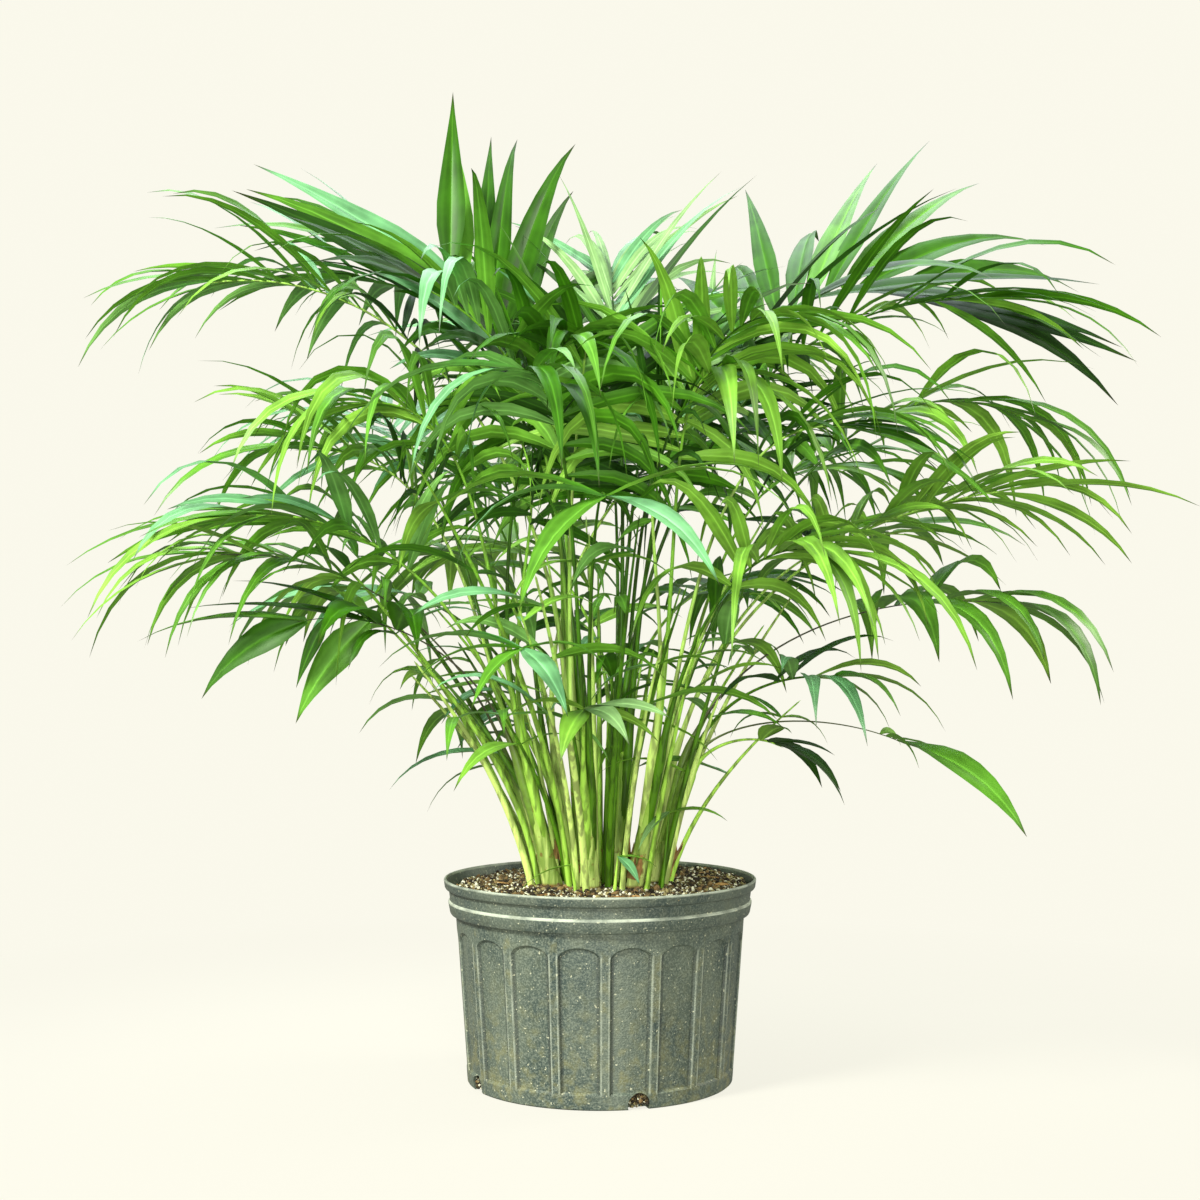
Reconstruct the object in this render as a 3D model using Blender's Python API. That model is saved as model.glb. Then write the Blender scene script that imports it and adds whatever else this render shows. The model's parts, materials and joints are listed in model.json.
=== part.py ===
"""A cat palm in its nursery pot: ribbed plastic pot, potting mix, canes, and fronds as cut blades.

Metres, +Z up. The origin is the centre of the pot's underside. A bearing is a compass angle in
degrees, counted from +X towards +Y, so that 270 points at someone who looks along +Y.
"""

import random
from math import cos, pi, radians, sin

import bmesh
import bpy
from mathutils import Matrix, Vector
from mathutils.bvhtree import BVHTree

# The pot
RIM_RADIUS = 0.1355
COLLAR_RADIUS = 0.1300
SHOULDER_RADIUS = 0.1250
BASE_RADIUS = 0.1140
POT_HEIGHT = 0.174
WALL = 0.0024
FLOOR = 0.003
FLUTES = 18
FIRST_RIDGE = 272.0
FLUTE_DEPTH = 0.0013
FLUTE_FOOT = 0.012
FLUTE_SHOULDER = 0.121
FLUTE_ARCH = 0.131
# Degrees from a ridge's middle to its edges, then to the flute's near edge, middle and far edge
FLUTE_COLUMNS = (-1.6, 1.6, 2.3, 10.0, 17.7)
DRAIN_BEARINGS = (206, 286, 26, 106)
DRAIN_RADIUS = 0.0095
DRAIN_HEIGHT = 0.004

# The gap where two pieces meet
GAP = 0.0004

# The potting mix
SOIL_CLEARANCE = 0.0008
SOIL_TOP = 0.1700
SOIL_EDGE = 0.1660
SOIL_FLAT = 0.090

# The canes, in two rings
CANE_SIDES = 8
CANE_RINGS = (
    # count, first bearing, foot radius, lean, shortest, tallest
    (8, 35.0, 0.048, 16.0, 0.070, 0.120),
    (4, 50.0, 0.018, 5.0, 0.110, 0.160),
)
CANE_FOOT = 0.0110
CANE_TOP = 0.0088
CANE_SHARES = (0.0, 0.12, 0.3, 1.0)
BULB_SHARE = 0.25
# The canes of a ring differ in height by this step, round and round, from the first one's share
HEIGHT_STEP = 0.618
FIRST_SHARE = 0.2
# A tall cane stands further out than a short one by this share of the ring's radius
RING_WIDTH = 0.16
FRONDS_PER_CANE = 4
# Fronds that end above this height stand on the inner ring, or else pay in degrees of bearing
INNER_RING_HEIGHT = 0.69
WRONG_RING_COST = 70

# The fronds: each row is one limb at its real size
FOOT_RING = 0.0052
PETIOLE_HALF = 0.0030
TIP_HALF = 0.0011
PETIOLE_STATIONS = 5
# Shares of the chord along which a rib leaves its foot and arrives at its end
LEAVE = 0.26
ARRIVE = 0.36
BLADE_KINDS = {
    # name: pairs of leaflets, leaflet length, width over length, bare share, sag
    "broad": (8, 0.255, 0.105, 0.58, 0.55),
    "full": (10, 0.200, 0.110, 0.54, 1.00),
    "arched": (9, 0.200, 0.110, 0.55, 1.40),
    "loose": (5, 0.165, 0.150, 0.64, 1.20),
    "small": (4, 0.125, 0.180, 0.64, 1.10),
    "sprig": (2, 0.095, 0.230, 0.78, 0.90),
    "whip": (2, 0.165, 0.190, 0.90, 0.90),
}
NAMED_FRONDS = (
    # name, kind, bearing, reach, height, pitch, roll
    ("crest_left", "broad", 158, 0.150, 0.718, 48, -55),
    ("crown_left", "full", 178, 0.345, 0.696, -8, 0),
    ("crown_left_back", "full", 156, 0.270, 0.720, 4, 10),
    ("middle_left", "arched", 183, 0.260, 0.545, -4, 0),
    ("middle_left_front", "full", 202, 0.310, 0.480, -6, 0),
    ("low_left", "arched", 186, 0.335, 0.452, -6, 0),
    ("lowest_left", "loose", 197, 0.260, 0.395, -12, 0),
    ("front_high_left", "arched", 224, 0.190, 0.660, 14, 0),
    ("crest_right", "broad", 14, 0.300, 0.700, -10, 55),
    ("crown_right", "full", -6, 0.330, 0.672, -4, 0),
    ("shoulder_right", "arched", 6, 0.380, 0.580, -26, 0),
    ("middle_right", "full", -10, 0.345, 0.505, 6, 0),
    ("low_right", "loose", -8, 0.350, 0.410, -8, 0),
    ("small_right", "small", -32, 0.220, 0.360, -6, 0),
    ("whip_right", "whip", -14, 0.260, 0.294, -24, 0),
    ("front_centre", "full", 271, 0.230, 0.485, -22, 0),
    ("front_low_left", "small", 250, 0.180, 0.372, -18, 0),
    ("front_high_right", "arched", 302, 0.200, 0.590, -16, 0),
    ("front_right", "arched", 318, 0.240, 0.448, -16, 0),
    ("front_high", "arched", 262, 0.150, 0.620, -5, 0),
    ("front_low", "sprig", 265, 0.140, 0.322, -20, 0),
    ("sprig_right", "sprig", -12, 0.155, 0.290, -25, 0),
    ("sprig_back", "small", 100, 0.200, 0.400, -10, 0),
    ("crest_back", "full", 86, 0.150, 0.735, 40, 0),
    ("crest_back_right", "full", 55, 0.190, 0.670, 40, 15),
)
FILL_RINGS = (
    # name, kind, count, first bearing, last bearing, reach, height, pitch
    ("back_low", "loose", 5, 34, 146, 0.340, 0.455, -8),
    ("back_middle", "arched", 5, 38, 138, 0.330, 0.575, -6),
    ("back_high", "full", 3, 70, 125, 0.270, 0.670, 2),
    ("front_fill", "arched", 4, 215, 340, 0.250, 0.585, -8),
    ("heart", "full", 3, 330, 200, 0.110, 0.600, 40),
)
# How far the fronds of a ring stray from its row, and how quickly that changes from one to the next
RING_TURN = 2.4
REACH_WAVE = 0.08
HEIGHT_WAVE = 0.030
PITCH_WAVE = 5

# How leaflets grow
LEAFLET_STEPS = 8
WIDEST_STEP = 4
SPLAY = (82, 22)
LIFT = (18, 16)
RIB_HEIGHT = 0.9
LEAFLET_THICKNESS = 0.0105
THINNEST = 0.0012
TIP_BREADTH = 0.001
TEST_MARGIN = 0.0008
OWN_MARGIN = 0.0004
ROOT_SHARE = 0.05
TRIES = 14
RIB_TRIES = 90
RIB_SWING = 0.5
RIB_RISE = 0.012
RIB_WAVE = 1.7


def section_frame(tangent, across, roll):
    """The two directions across a rib: its left side and its upper side, turned by roll degrees."""
    side = (across - tangent * across.dot(tangent)).normalized()
    turn = Matrix.Rotation(radians(roll), 3, tangent)
    side = turn @ side
    return side, tangent.cross(side).normalized()


class Body:
    """A closed test shape with its bounding box, for finding what touches what."""

    def __init__(self, points, faces):
        self.low = [min(p[k] for p in points) for k in range(3)]
        self.high = [max(p[k] for p in points) for k in range(3)]
        self.tree = BVHTree.FromPolygons(points, faces)

    def touches(self, other):
        for k in range(3):
            if self.low[k] > other.high[k] or other.low[k] > self.high[k]:
                return False
        return bool(self.tree.overlap(other.tree))


def tube_body(centres, reaches):
    """A closed test tube: at each centre, reaches gives the four offsets of its corners."""
    points = [c + offset for c, four in zip(centres, reaches) for offset in four]
    faces = [(3, 2, 1, 0)]
    for ring in range(len(centres) - 1):
        for corner in range(4):
            a, b = 4 * ring + corner, 4 * ring + (corner + 1) % 4
            faces.append((a, b, b + 4, a + 4))
    last = 4 * (len(centres) - 1)
    faces.append((last, last + 1, last + 2, last + 3))
    return Body(points, faces)


def convex_split(points, quad):
    """The two triangles of a quad, on the diagonal that makes it bulge outwards."""
    a, b, c, d = quad
    outwards = (points[c] - points[a]).cross(points[d] - points[b])
    if (points[a] + points[c] - points[b] - points[d]).dot(outwards) > 0:
        return [(a, b, c), (a, c, d)]
    return [(a, b, d), (b, c, d)]


class Cane:
    """One short upright stem: it leans out from its foot, and its flat top carries petioles."""

    def __init__(self, number, bearing, foot_radius, lean, height):
        self.name = f"cane_{number:02d}"
        self.bearing = bearing
        out = Vector((cos(radians(bearing)), sin(radians(bearing)), 0.0))
        self.foot = out * foot_radius + Vector((0, 0, SOIL_TOP + GAP))
        self.axis = (out * sin(radians(lean)) + Vector((0, 0, cos(radians(lean))))).normalized()
        self.top = self.foot + self.axis * height
        self.fronds = []

    def radius(self, share):
        """The bulb at the foot narrows quickly, then the cane tapers slowly."""
        bulb = max(0.0, 1 - share / BULB_SHARE) ** 2
        return CANE_TOP + (CANE_FOOT - CANE_TOP) * (0.45 * (1 - share) + 0.55 * bulb)

    def body(self):
        """A test shape that stops just under the flat top, where the petioles stand."""
        quarter = self.axis.orthogonal().normalized()
        spokes = [Matrix.Rotation(pi / 2 * k, 3, self.axis) @ quarter for k in range(4)]
        reaches = [[spoke * r for spoke in spokes] for r in (CANE_FOOT, CANE_TOP)]
        return tube_body([self.foot, self.top - self.axis * GAP], reaches)


class Frond:
    """One leaf: a petiole that goes on as the rib, and the leaflets along the rib."""

    def __init__(self, name, kind, bearing, reach, height, pitch, roll, seed):
        self.name = f"frond_{name}"
        self.kind = kind
        self.bearing = bearing
        self.reach = reach
        self.height = height
        self.pitch = pitch
        self.roll = roll
        self.random = random.Random(seed)
        pairs, length, ratio, bare, sag = BLADE_KINDS[kind]
        self.pairs = pairs
        self.leaflet_length = length
        self.leaflet_ratio = ratio
        self.bare = bare
        self.sag = sag

    def stand_on(self, cane, place):
        """The foot, on the cane's flat top, beside the cane's other petioles."""
        angle = radians(cane.bearing + 90 * place)
        spread = Vector((cos(angle), sin(angle), 0.0))
        spread = (spread - cane.axis * spread.dot(cane.axis)).normalized()
        self.cane = cane
        self.foot = cane.top + spread * FOOT_RING + cane.axis * GAP

    def bend(self, bearing_shift=0.0, height_shift=0.0):
        """Works out the curve from the foot to the rib's end."""
        angle = radians(self.bearing + bearing_shift)
        end = Vector((self.reach * cos(angle), self.reach * sin(angle), self.height + height_shift))
        chord = (end - self.foot).length
        out = Vector((end.x - self.foot.x, end.y - self.foot.y, 0.0)).normalized()
        pitch = radians(self.pitch)
        arrive = out * cos(pitch) + Vector((0, 0, sin(pitch)))
        self.across = Vector((-out.y, out.x, 0.0))
        steep = (end.z - self.foot.z) / chord
        leave = self.foot + self.cane.axis * chord * LEAVE * (1 + steep)
        self.hold = (self.foot, leave, end - arrive * chord * ARRIVE, end)

    def point(self, t):
        a, b, c, d = self.hold
        s = 1 - t
        return a * s**3 + b * (3 * s * s * t) + c * (3 * s * t * t) + d * t**3

    def tangent(self, t):
        a, b, c, d = self.hold
        s = 1 - t
        return ((b - a) * (s * s) + (c - b) * (2 * s * t) + (d - c) * (t * t)).normalized()

    def frame(self, t):
        """The rib's left and upper sides. The roll comes in along the blade."""
        blade = max(0.0, (t - self.bare) / (1 - self.bare))
        return section_frame(self.tangent(t), self.across, self.roll * blade)

    def half_width(self, t):
        return PETIOLE_HALF + (TIP_HALF - PETIOLE_HALF) * t

    def stations(self):
        """Where the rib has a section: a few along the petiole, then one for each leaflet."""
        petiole = [self.bare * k / PETIOLE_STATIONS for k in range(PETIOLE_STATIONS)]
        leaflets = 2 * self.pairs
        return petiole + [self.bare + (1 - self.bare) * k / leaflets for k in range(leaflets + 1)]

    def corners(self, t):
        """The rib's three-sided section at t: its ridge, its left edge and its right edge."""
        side, up = self.frame(t)
        half, centre = self.half_width(t), self.point(t)
        return centre + up * half * RIB_HEIGHT, centre + side * half, centre - side * half

    def rib_body(self, margin):
        times = self.stations()
        reaches = []
        for t in times:
            side, up = self.frame(t)
            half = self.half_width(t) + margin
            reaches.append((side * half, up * half, -side * half, -up * half))
        return tube_body([self.point(t) for t in times], reaches)


class Leaflet:
    """One leaflet: a blade that leaves the rib, widens, and bends down to its tip."""

    def __init__(self, frond, number, attempt):
        along = number / (2 * frond.pairs - 1)
        self.start, self.end = frond.stations()[PETIOLE_STATIONS + number :][:2]
        self.left = number % 2 == 0
        t = (self.start + self.end) / 2
        tangent = frond.tangent(t)
        side, up = frond.frame(t)
        if not self.left:
            side = -side
        jitter = frond.random.uniform
        wander = 1 + 0.9 * attempt
        splay = radians(SPLAY[0] + (SPLAY[1] - SPLAY[0]) * along**0.8 + jitter(-4, 4) * wander)
        lift = radians(LIFT[0] + (LIFT[1] - LIFT[0]) * along + jitter(-5, 5) * wander)
        outward = side * cos(lift) + up * sin(lift)
        direction = (tangent * cos(splay) + outward * sin(splay)).normalized()
        swell = 0.72 + 0.32 * sin(pi * (0.16 + 0.72 * along))
        self.length = frond.leaflet_length * swell * jitter(0.92, 1.06) * (1 - 0.02 * attempt)
        self.width = frond.leaflet_length * frond.leaflet_ratio * (0.86 + 0.2 * along) * jitter(0.9, 1.1)
        self.sag = frond.sag * jitter(0.7, 1.3) + jitter(-0.05, 0.05) * wander
        self.root = frond.point(t) + side * frond.half_width(t)
        self.along_rib = tangent
        self.root_length = (frond.point(self.end) - frond.point(self.start)).length
        self.normal = (up - direction * up.dot(direction)).normalized()
        self.path(direction)

    def path(self, direction):
        """Steps along the leaflet, turning it down a little more at each step."""
        step = self.length / LEAFLET_STEPS
        point, normal = self.root.copy(), self.normal
        self.points, self.normals, self.directions = [point.copy()], [normal], [direction]
        for k in range(LEAFLET_STEPS):
            fall = self.sag * 2 * (k + 0.5) / LEAFLET_STEPS**2
            direction = (direction + Vector((0, 0, -fall))).normalized()
            normal = (normal - direction * normal.dot(direction)).normalized()
            point = point + direction * step
            self.points.append(point.copy())
            self.normals.append(normal)
            self.directions.append(direction)

    def across(self, step):
        """The direction across the blade, towards the frond's tip."""
        found = self.directions[step].cross(self.normals[step]).normalized()
        return found if self.left else -found

    def thickness(self):
        return max(LEAFLET_THICKNESS * self.length, THINNEST)

    def blade(self, frond, margin=0.0):
        """Corners and triangles as they are built: root, widest place and tip. The root stays open."""
        near, far = frond.corners(self.start), frond.corners(self.end)
        ridge, left, right = range(3)
        centre = self.points[WIDEST_STEP]
        top = centre + self.normals[WIDEST_STEP] * (self.thickness() + margin)
        wide = self.across(WIDEST_STEP) * (self.width / 2 + margin)
        if self.left:
            points = [near[ridge], far[left], near[left], top, centre + wide, centre - wide]
        else:
            points = [near[ridge], near[right], far[right], top, centre - wide, centre + wide]
        triangles = [(3, 4, 6), (4, 5, 6), (5, 3, 6)]
        for a, b in ((0, 1), (1, 2), (2, 0)):
            triangles += convex_split(points, (a, b, b + 3, a + 3))
        return points + [self.points[-1]], triangles

    def built_body(self, frond, root_share=0.0, margin=0.0):
        """A test shape of the blade as it is built. With a root share it starts clear of the rib."""
        points, triangles = self.blade(frond, margin)
        root = [points[k].lerp(points[k + 3], root_share) for k in range(3)]
        return Body(root + points[3:], triangles + [(0, 2, 1)])

    def wide_body(self):
        """A test shape a little larger than the leaflet, to keep it clear of what isn't its frond."""
        wides = (
            self.along_rib * (self.root_length / 2 + TEST_MARGIN),
            self.across(WIDEST_STEP) * (self.width / 2 + TEST_MARGIN),
            self.across(LEAFLET_STEPS) * (TIP_BREADTH / 2 + TEST_MARGIN),
        )
        centres = [self.points[k] for k in (0, WIDEST_STEP, LEAFLET_STEPS)]
        reaches = []
        for k, wide in zip((0, WIDEST_STEP, LEAFLET_STEPS), wides):
            above = self.normals[k] * (self.thickness() + TEST_MARGIN)
            reaches.append((wide, above, -wide, -self.normals[k] * TEST_MARGIN))
        return tube_body(centres, reaches)


def plain_material(name, colour, roughness):
    material = bpy.data.materials.new(name)
    material.use_nodes = True
    shader = material.node_tree.nodes["Principled BSDF"]
    shader.inputs["Base Color"].default_value = (*colour, 1.0)
    shader.inputs["Roughness"].default_value = roughness
    shader.inputs["Metallic"].default_value = 0.0
    return material


def object_from(name, bm, material, smooth=True):
    mesh = bpy.data.meshes.new(name)
    bm.to_mesh(mesh)
    bm.free()
    made = bpy.data.objects.new(name, mesh)
    bpy.context.scene.collection.objects.link(made)
    mesh.materials.append(material)
    if smooth:
        mesh.shade_smooth()
        mesh.set_sharp_from_angle(angle=radians(35))
    return made


def turned(profile, angles, dent=None):
    """A closed solid of revolution: one column of the profile at each angle, in degrees.

    dent gives how far a corner is pushed in, from its number in the profile and its column.
    """
    bm = bmesh.new()
    columns = []
    for number, angle in enumerate(angles):
        across, along = cos(radians(angle)), sin(radians(angle))
        corners = []
        for place, (radius, height) in enumerate(profile):
            radius -= dent(place, number) if dent else 0.0
            corners.append(bm.verts.new((radius * across, radius * along, height)))
        columns.append(corners)
    for column, following in zip(columns, columns[1:] + columns[:1]):
        for low in range(len(profile) - 1):
            bm.faces.new((column[low], following[low], following[low + 1], column[low + 1]))
    bm.faces.new([column[0] for column in reversed(columns)])
    bm.faces.new([column[-1] for column in columns])
    return bm


def pot_profile():
    """From the underside up the outside, over the lip and down the inside, as radius and height."""
    collar, shoulder = COLLAR_RADIUS, SHOULDER_RADIUS
    return (
        (BASE_RADIUS - 0.0005, 0.0),
        (BASE_RADIUS + 0.0008, 0.006),
        (BASE_RADIUS + 0.0014, FLUTE_FOOT),
        (shoulder - 0.0012, FLUTE_SHOULDER),
        (shoulder - 0.0007, FLUTE_ARCH),
        (shoulder - 0.0004, FLUTE_ARCH + 0.004),
        (shoulder, POT_HEIGHT - 0.0310),
        (collar, POT_HEIGHT - 0.0290),
        (collar + 0.0012, POT_HEIGHT - 0.0195),
        (collar, POT_HEIGHT - 0.0185),
        (collar + 0.0010, POT_HEIGHT - 0.0090),
        (RIM_RADIUS - 0.0012, POT_HEIGHT - 0.0080),
        (RIM_RADIUS, POT_HEIGHT),
        (RIM_RADIUS - 0.0022, POT_HEIGHT),
        (collar - WALL, POT_HEIGHT - 0.0090),
        (shoulder - WALL, POT_HEIGHT - 0.0330),
        (BASE_RADIUS - WALL, FLOOR),
    )


def flute_dent(place, column):
    """The flutes' floor: full width from foot to shoulder, and only the middle at the arch."""
    side = column % len(FLUTE_COLUMNS)
    foot, shoulder, arch = 2, 3, 4
    if side < 2 or place not in (foot, shoulder, arch):
        return 0.0
    if place == arch and side != 3:
        return 0.0
    return FLUTE_DEPTH


def make_pot(material):
    pitch = 360 / FLUTES
    angles = [FIRST_RIDGE + pitch * flute + column for flute in range(FLUTES) for column in FLUTE_COLUMNS]
    pot = object_from("pot", turned(pot_profile(), angles, flute_dent), material)
    for bearing in DRAIN_BEARINGS:
        cut_drain(pot, bearing)
    return pot


def cut_drain(pot, bearing):
    """A round hole through the corner where the wall meets the floor."""
    angle = radians(bearing)
    bpy.ops.mesh.primitive_cylinder_add(
        vertices=12,
        radius=DRAIN_RADIUS,
        depth=0.020,
        location=(BASE_RADIUS * cos(angle), BASE_RADIUS * sin(angle), DRAIN_HEIGHT),
        rotation=(0, pi / 2, angle),
    )
    cutter = bpy.context.active_object
    cutter.name = f"drain_cutter_{bearing}"
    cutter.hide_render = True
    cutter.display_type = "WIRE"
    hole = pot.modifiers.new("drain", "BOOLEAN")
    hole.operation = "DIFFERENCE"
    hole.solver = "EXACT"
    hole.object = cutter


def make_soil(material):
    """The potting mix: it fills the pot, flat where the canes stand and lower at the wall."""
    inside = SHOULDER_RADIUS - WALL - SOIL_CLEARANCE
    profile = (
        (BASE_RADIUS - WALL - SOIL_CLEARANCE - 0.0004, FLOOR + SOIL_CLEARANCE),
        (inside, POT_HEIGHT - 0.0335),
        (inside + 0.0042, SOIL_EDGE - 0.0010),
        (SOIL_FLAT, SOIL_TOP),
    )
    return object_from("potting_mix", turned(profile, range(0, 360, 10)), material)


def grow_canes():
    canes = []
    for count, first, foot_radius, lean, shortest, tallest in CANE_RINGS:
        for k in range(count):
            share = (k * HEIGHT_STEP + FIRST_SHARE) % 1
            bearing = first + 360 * k / count
            height = shortest + (tallest - shortest) * share
            radius = foot_radius * (1 + RING_WIDTH * (share - 0.5))
            canes.append(Cane(len(canes) + 1, bearing, radius, lean, height))
    return canes


def all_fronds():
    fronds = [Frond(*row, seed=100 + k) for k, row in enumerate(NAMED_FRONDS)]
    for name, kind, count, first, last, reach, height, pitch in FILL_RINGS:
        for k in range(count):
            share = k / max(1, count - 1)
            bearing = first + (last - first) * share
            wave = sin(RING_TURN * k + len(name))
            fronds.append(
                Frond(
                    f"{name}_{k + 1}",
                    kind,
                    bearing,
                    reach * (1 + REACH_WAVE * wave),
                    height + HEIGHT_WAVE * wave,
                    pitch + PITCH_WAVE * wave,
                    0,
                    seed=300 + len(fronds),
                )
            )
    return fronds


def turn_between(a, b):
    return abs((a - b + 180) % 360 - 180)


def share_out(fronds, canes):
    """Each frond stands on the nearest cane with room. High fronds go to the inner ring."""
    outer = CANE_RINGS[0][0]
    for frond in sorted(fronds, key=lambda f: f.height):
        def cost(item):
            number, cane = item
            wrong_ring = (number < outer) == (frond.height > INNER_RING_HEIGHT)
            return turn_between(frond.bearing, cane.bearing) + WRONG_RING_COST * wrong_ring
        free = [item for item in enumerate(canes) if len(item[1].fronds) < FRONDS_PER_CANE]
        min(free, key=cost)[1].fronds.append(frond)
    for cane in canes:
        seat_petioles(cane)


def seat_petioles(cane):
    """Places of a cane's petioles: the lowest frond outside, the highest inside, others at the sides."""
    sides = {True: 1, False: 3}
    for rank, frond in enumerate(sorted(cane.fronds, key=lambda f: f.height)):
        left = (frond.bearing - cane.bearing) % 360 < 180
        if rank == 0:
            place = 0
        elif rank == len(cane.fronds) - 1:
            place = 2
        else:
            place = sides.pop(left, 0) or sides.popitem()[1]
        frond.stand_on(cane, place)


def settle_ribs(fronds, placed):
    """Bends each rib so that it clears the ribs before it, by small turns where it has to."""
    for frond in fronds:
        for attempt in range(RIB_TRIES):
            swing = RIB_SWING * attempt * (-1) ** attempt
            frond.bend(swing, RIB_RISE * sin(RIB_WAVE * attempt))
            body = frond.rib_body(TEST_MARGIN)
            if not any(body.touches(other) for other in placed):
                break
        else:
            print("no clear way for", frond.name)
        placed.append(frond.rib_body(0.0))


def settle_leaflets(fronds, placed):
    """Gives each frond the leaflets that fit. A leaflet with no free place is left off."""
    for frond, rib in zip(fronds, placed[-len(fronds) :]):
        frond.leaflets = {}
        others = [body for body in placed if body is not rib]
        own = [rib]
        for number in range(2 * frond.pairs):
            for attempt in range(TRIES):
                leaflet = Leaflet(frond, number, attempt)
                wide, built = leaflet.wide_body(), leaflet.built_body(frond)
                inside = leaflet.built_body(frond, ROOT_SHARE, OWN_MARGIN)
                if any(wide.touches(other) or built.touches(other) for other in others):
                    continue
                if any(map(inside.touches, own)):
                    continue
                placed.append(built)
                own.append(inside)
                frond.leaflets[number] = leaflet
                break
    wanted, kept = sum(2 * f.pairs for f in fronds), sum(len(f.leaflets) for f in fronds)
    print(f"{kept} of {wanted} leaflets found a free place")


def grow_plant():
    """Works out every cane, rib and leaflet, each clear of those before it."""
    canes = grow_canes()
    fronds = all_fronds()
    share_out(fronds, canes)
    placed = [cane.body() for cane in canes]
    settle_ribs(fronds, placed)
    settle_leaflets(fronds, placed)
    return fronds, canes


def make_cane(cane, material):
    """A ring at the flat cut, extruded up the cane and narrowed at each ring."""
    bm = bmesh.new()
    across = Vector((1, 0, 0))
    first = cane.axis.cross(across).normalized()
    second = cane.axis.cross(first).normalized()
    spokes = [
        first * cos(2 * pi * k / CANE_SIDES) + second * sin(2 * pi * k / CANE_SIDES) for k in range(CANE_SIDES)
    ]
    rings = []
    for share in CANE_SHARES:
        centre = cane.foot.lerp(cane.top, share)
        ring = []
        for spoke in spokes:
            corner = centre + spoke * cane.radius(share)
            if share == 0.0:
                # The flat cut lies level on the potting mix.
                corner -= cane.axis * ((corner.z - cane.foot.z) / cane.axis.z)
            ring.append(bm.verts.new(corner))
        rings.append(ring)
    for low, high in zip(rings, rings[1:]):
        for k in range(CANE_SIDES):
            after = (k + 1) % CANE_SIDES
            bm.faces.new((low[k], low[after], high[after], high[k]))
    bm.faces.new(rings[0])
    bm.faces.new(rings[-1])
    bmesh.ops.recalc_face_normals(bm, faces=bm.faces[:])
    return object_from(cane.name, bm, material)


def make_frond(frond, material):
    """The rib is a three-sided bar. Each leaflet grows from a triangle of its side."""
    bm = bmesh.new()
    times = frond.stations()
    rings = []
    for t in times:
        rings.append([bm.verts.new(corner) for corner in frond.corners(t)])
    bm.faces.new(rings[0])
    bm.faces.new(rings[-1][::-1])
    for k, (near, far) in enumerate(zip(rings, rings[1:])):
        ridge, left, right = range(3)
        bm.faces.new((near[left], far[left], far[right], near[right]))
        bm.faces.new((near[ridge], far[ridge], far[left]))
        bm.faces.new((near[ridge], far[right], far[ridge]))
        leaflet = frond.leaflets.get(k - PETIOLE_STATIONS)
        roots = {True: (near[ridge], far[left], near[left]), False: (near[ridge], near[right], far[right])}
        for on_left, root in roots.items():
            if leaflet and leaflet.left == on_left:
                grow_leaflet(bm, frond, leaflet, root)
            else:
                bm.faces.new(root)
    bmesh.ops.triangulate(bm, faces=bm.faces[:])
    return object_from(frond.name, bm, material, smooth=False)


def grow_leaflet(bm, frond, leaflet, root):
    """The blade stands on a triangle of the rib's side, in place of it."""
    points, triangles = leaflet.blade(frond)
    corners = [*root, *(bm.verts.new(point) for point in points[len(root) :])]
    for triangle in triangles:
        bm.faces.new([corners[k] for k in triangle])


def clear_scene():
    for old in list(bpy.data.objects):
        bpy.data.objects.remove(old)


def main():
    clear_scene()
    plastic = plain_material("pot_plastic", (0.10, 0.12, 0.10), 0.6)
    mix = plain_material("potting_mix", (0.06, 0.045, 0.03), 0.95)
    stem = plain_material("cane_green", (0.35, 0.50, 0.13), 0.5)
    leaf = plain_material("leaf_green", (0.10, 0.30, 0.05), 0.45)
    make_pot(plastic)
    make_soil(mix)
    fronds, canes = grow_plant()
    for cane in canes:
        make_cane(cane, stem)
    for frond in fronds:
        make_frond(frond, leaf)


if __name__ == "__main__":
    main()
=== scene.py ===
# %% [markdown]
# This lesson dresses a cat palm in its nursery pot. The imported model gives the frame: every rib and
# cane has its place there, in metres, with +Z up and the origin under the middle of the pot. The
# solids are plain, so each is replaced by a finer piece that stands in the same space.

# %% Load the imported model
import json
import random
from math import cos, pi, radians, sin, sqrt

import bpy
import numpy as np
from mathutils import Matrix, Vector, noise
from mathutils.bvhtree import BVHTree

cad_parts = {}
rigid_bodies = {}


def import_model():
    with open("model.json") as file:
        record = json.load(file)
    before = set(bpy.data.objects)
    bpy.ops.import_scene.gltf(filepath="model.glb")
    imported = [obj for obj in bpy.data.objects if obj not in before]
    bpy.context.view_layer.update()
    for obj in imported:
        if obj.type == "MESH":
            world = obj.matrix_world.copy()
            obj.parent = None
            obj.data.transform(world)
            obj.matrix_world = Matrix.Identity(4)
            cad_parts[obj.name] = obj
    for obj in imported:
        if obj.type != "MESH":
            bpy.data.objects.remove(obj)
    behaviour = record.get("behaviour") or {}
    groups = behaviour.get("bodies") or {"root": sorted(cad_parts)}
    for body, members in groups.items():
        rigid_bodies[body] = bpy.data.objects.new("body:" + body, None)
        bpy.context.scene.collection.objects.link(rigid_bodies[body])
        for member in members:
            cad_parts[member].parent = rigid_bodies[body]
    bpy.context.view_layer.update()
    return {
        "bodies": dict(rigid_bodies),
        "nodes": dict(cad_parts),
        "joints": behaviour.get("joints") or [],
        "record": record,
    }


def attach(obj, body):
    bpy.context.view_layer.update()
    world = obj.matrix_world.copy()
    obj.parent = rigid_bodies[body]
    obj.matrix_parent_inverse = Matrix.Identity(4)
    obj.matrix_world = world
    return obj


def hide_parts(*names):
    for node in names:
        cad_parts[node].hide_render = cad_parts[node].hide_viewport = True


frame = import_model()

# %% [markdown]
# The camera stands where the photographer stood: a little above the middle of the plant, looking
# down by a degree and a half. A long lens keeps the pot's sides almost parallel.

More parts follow.
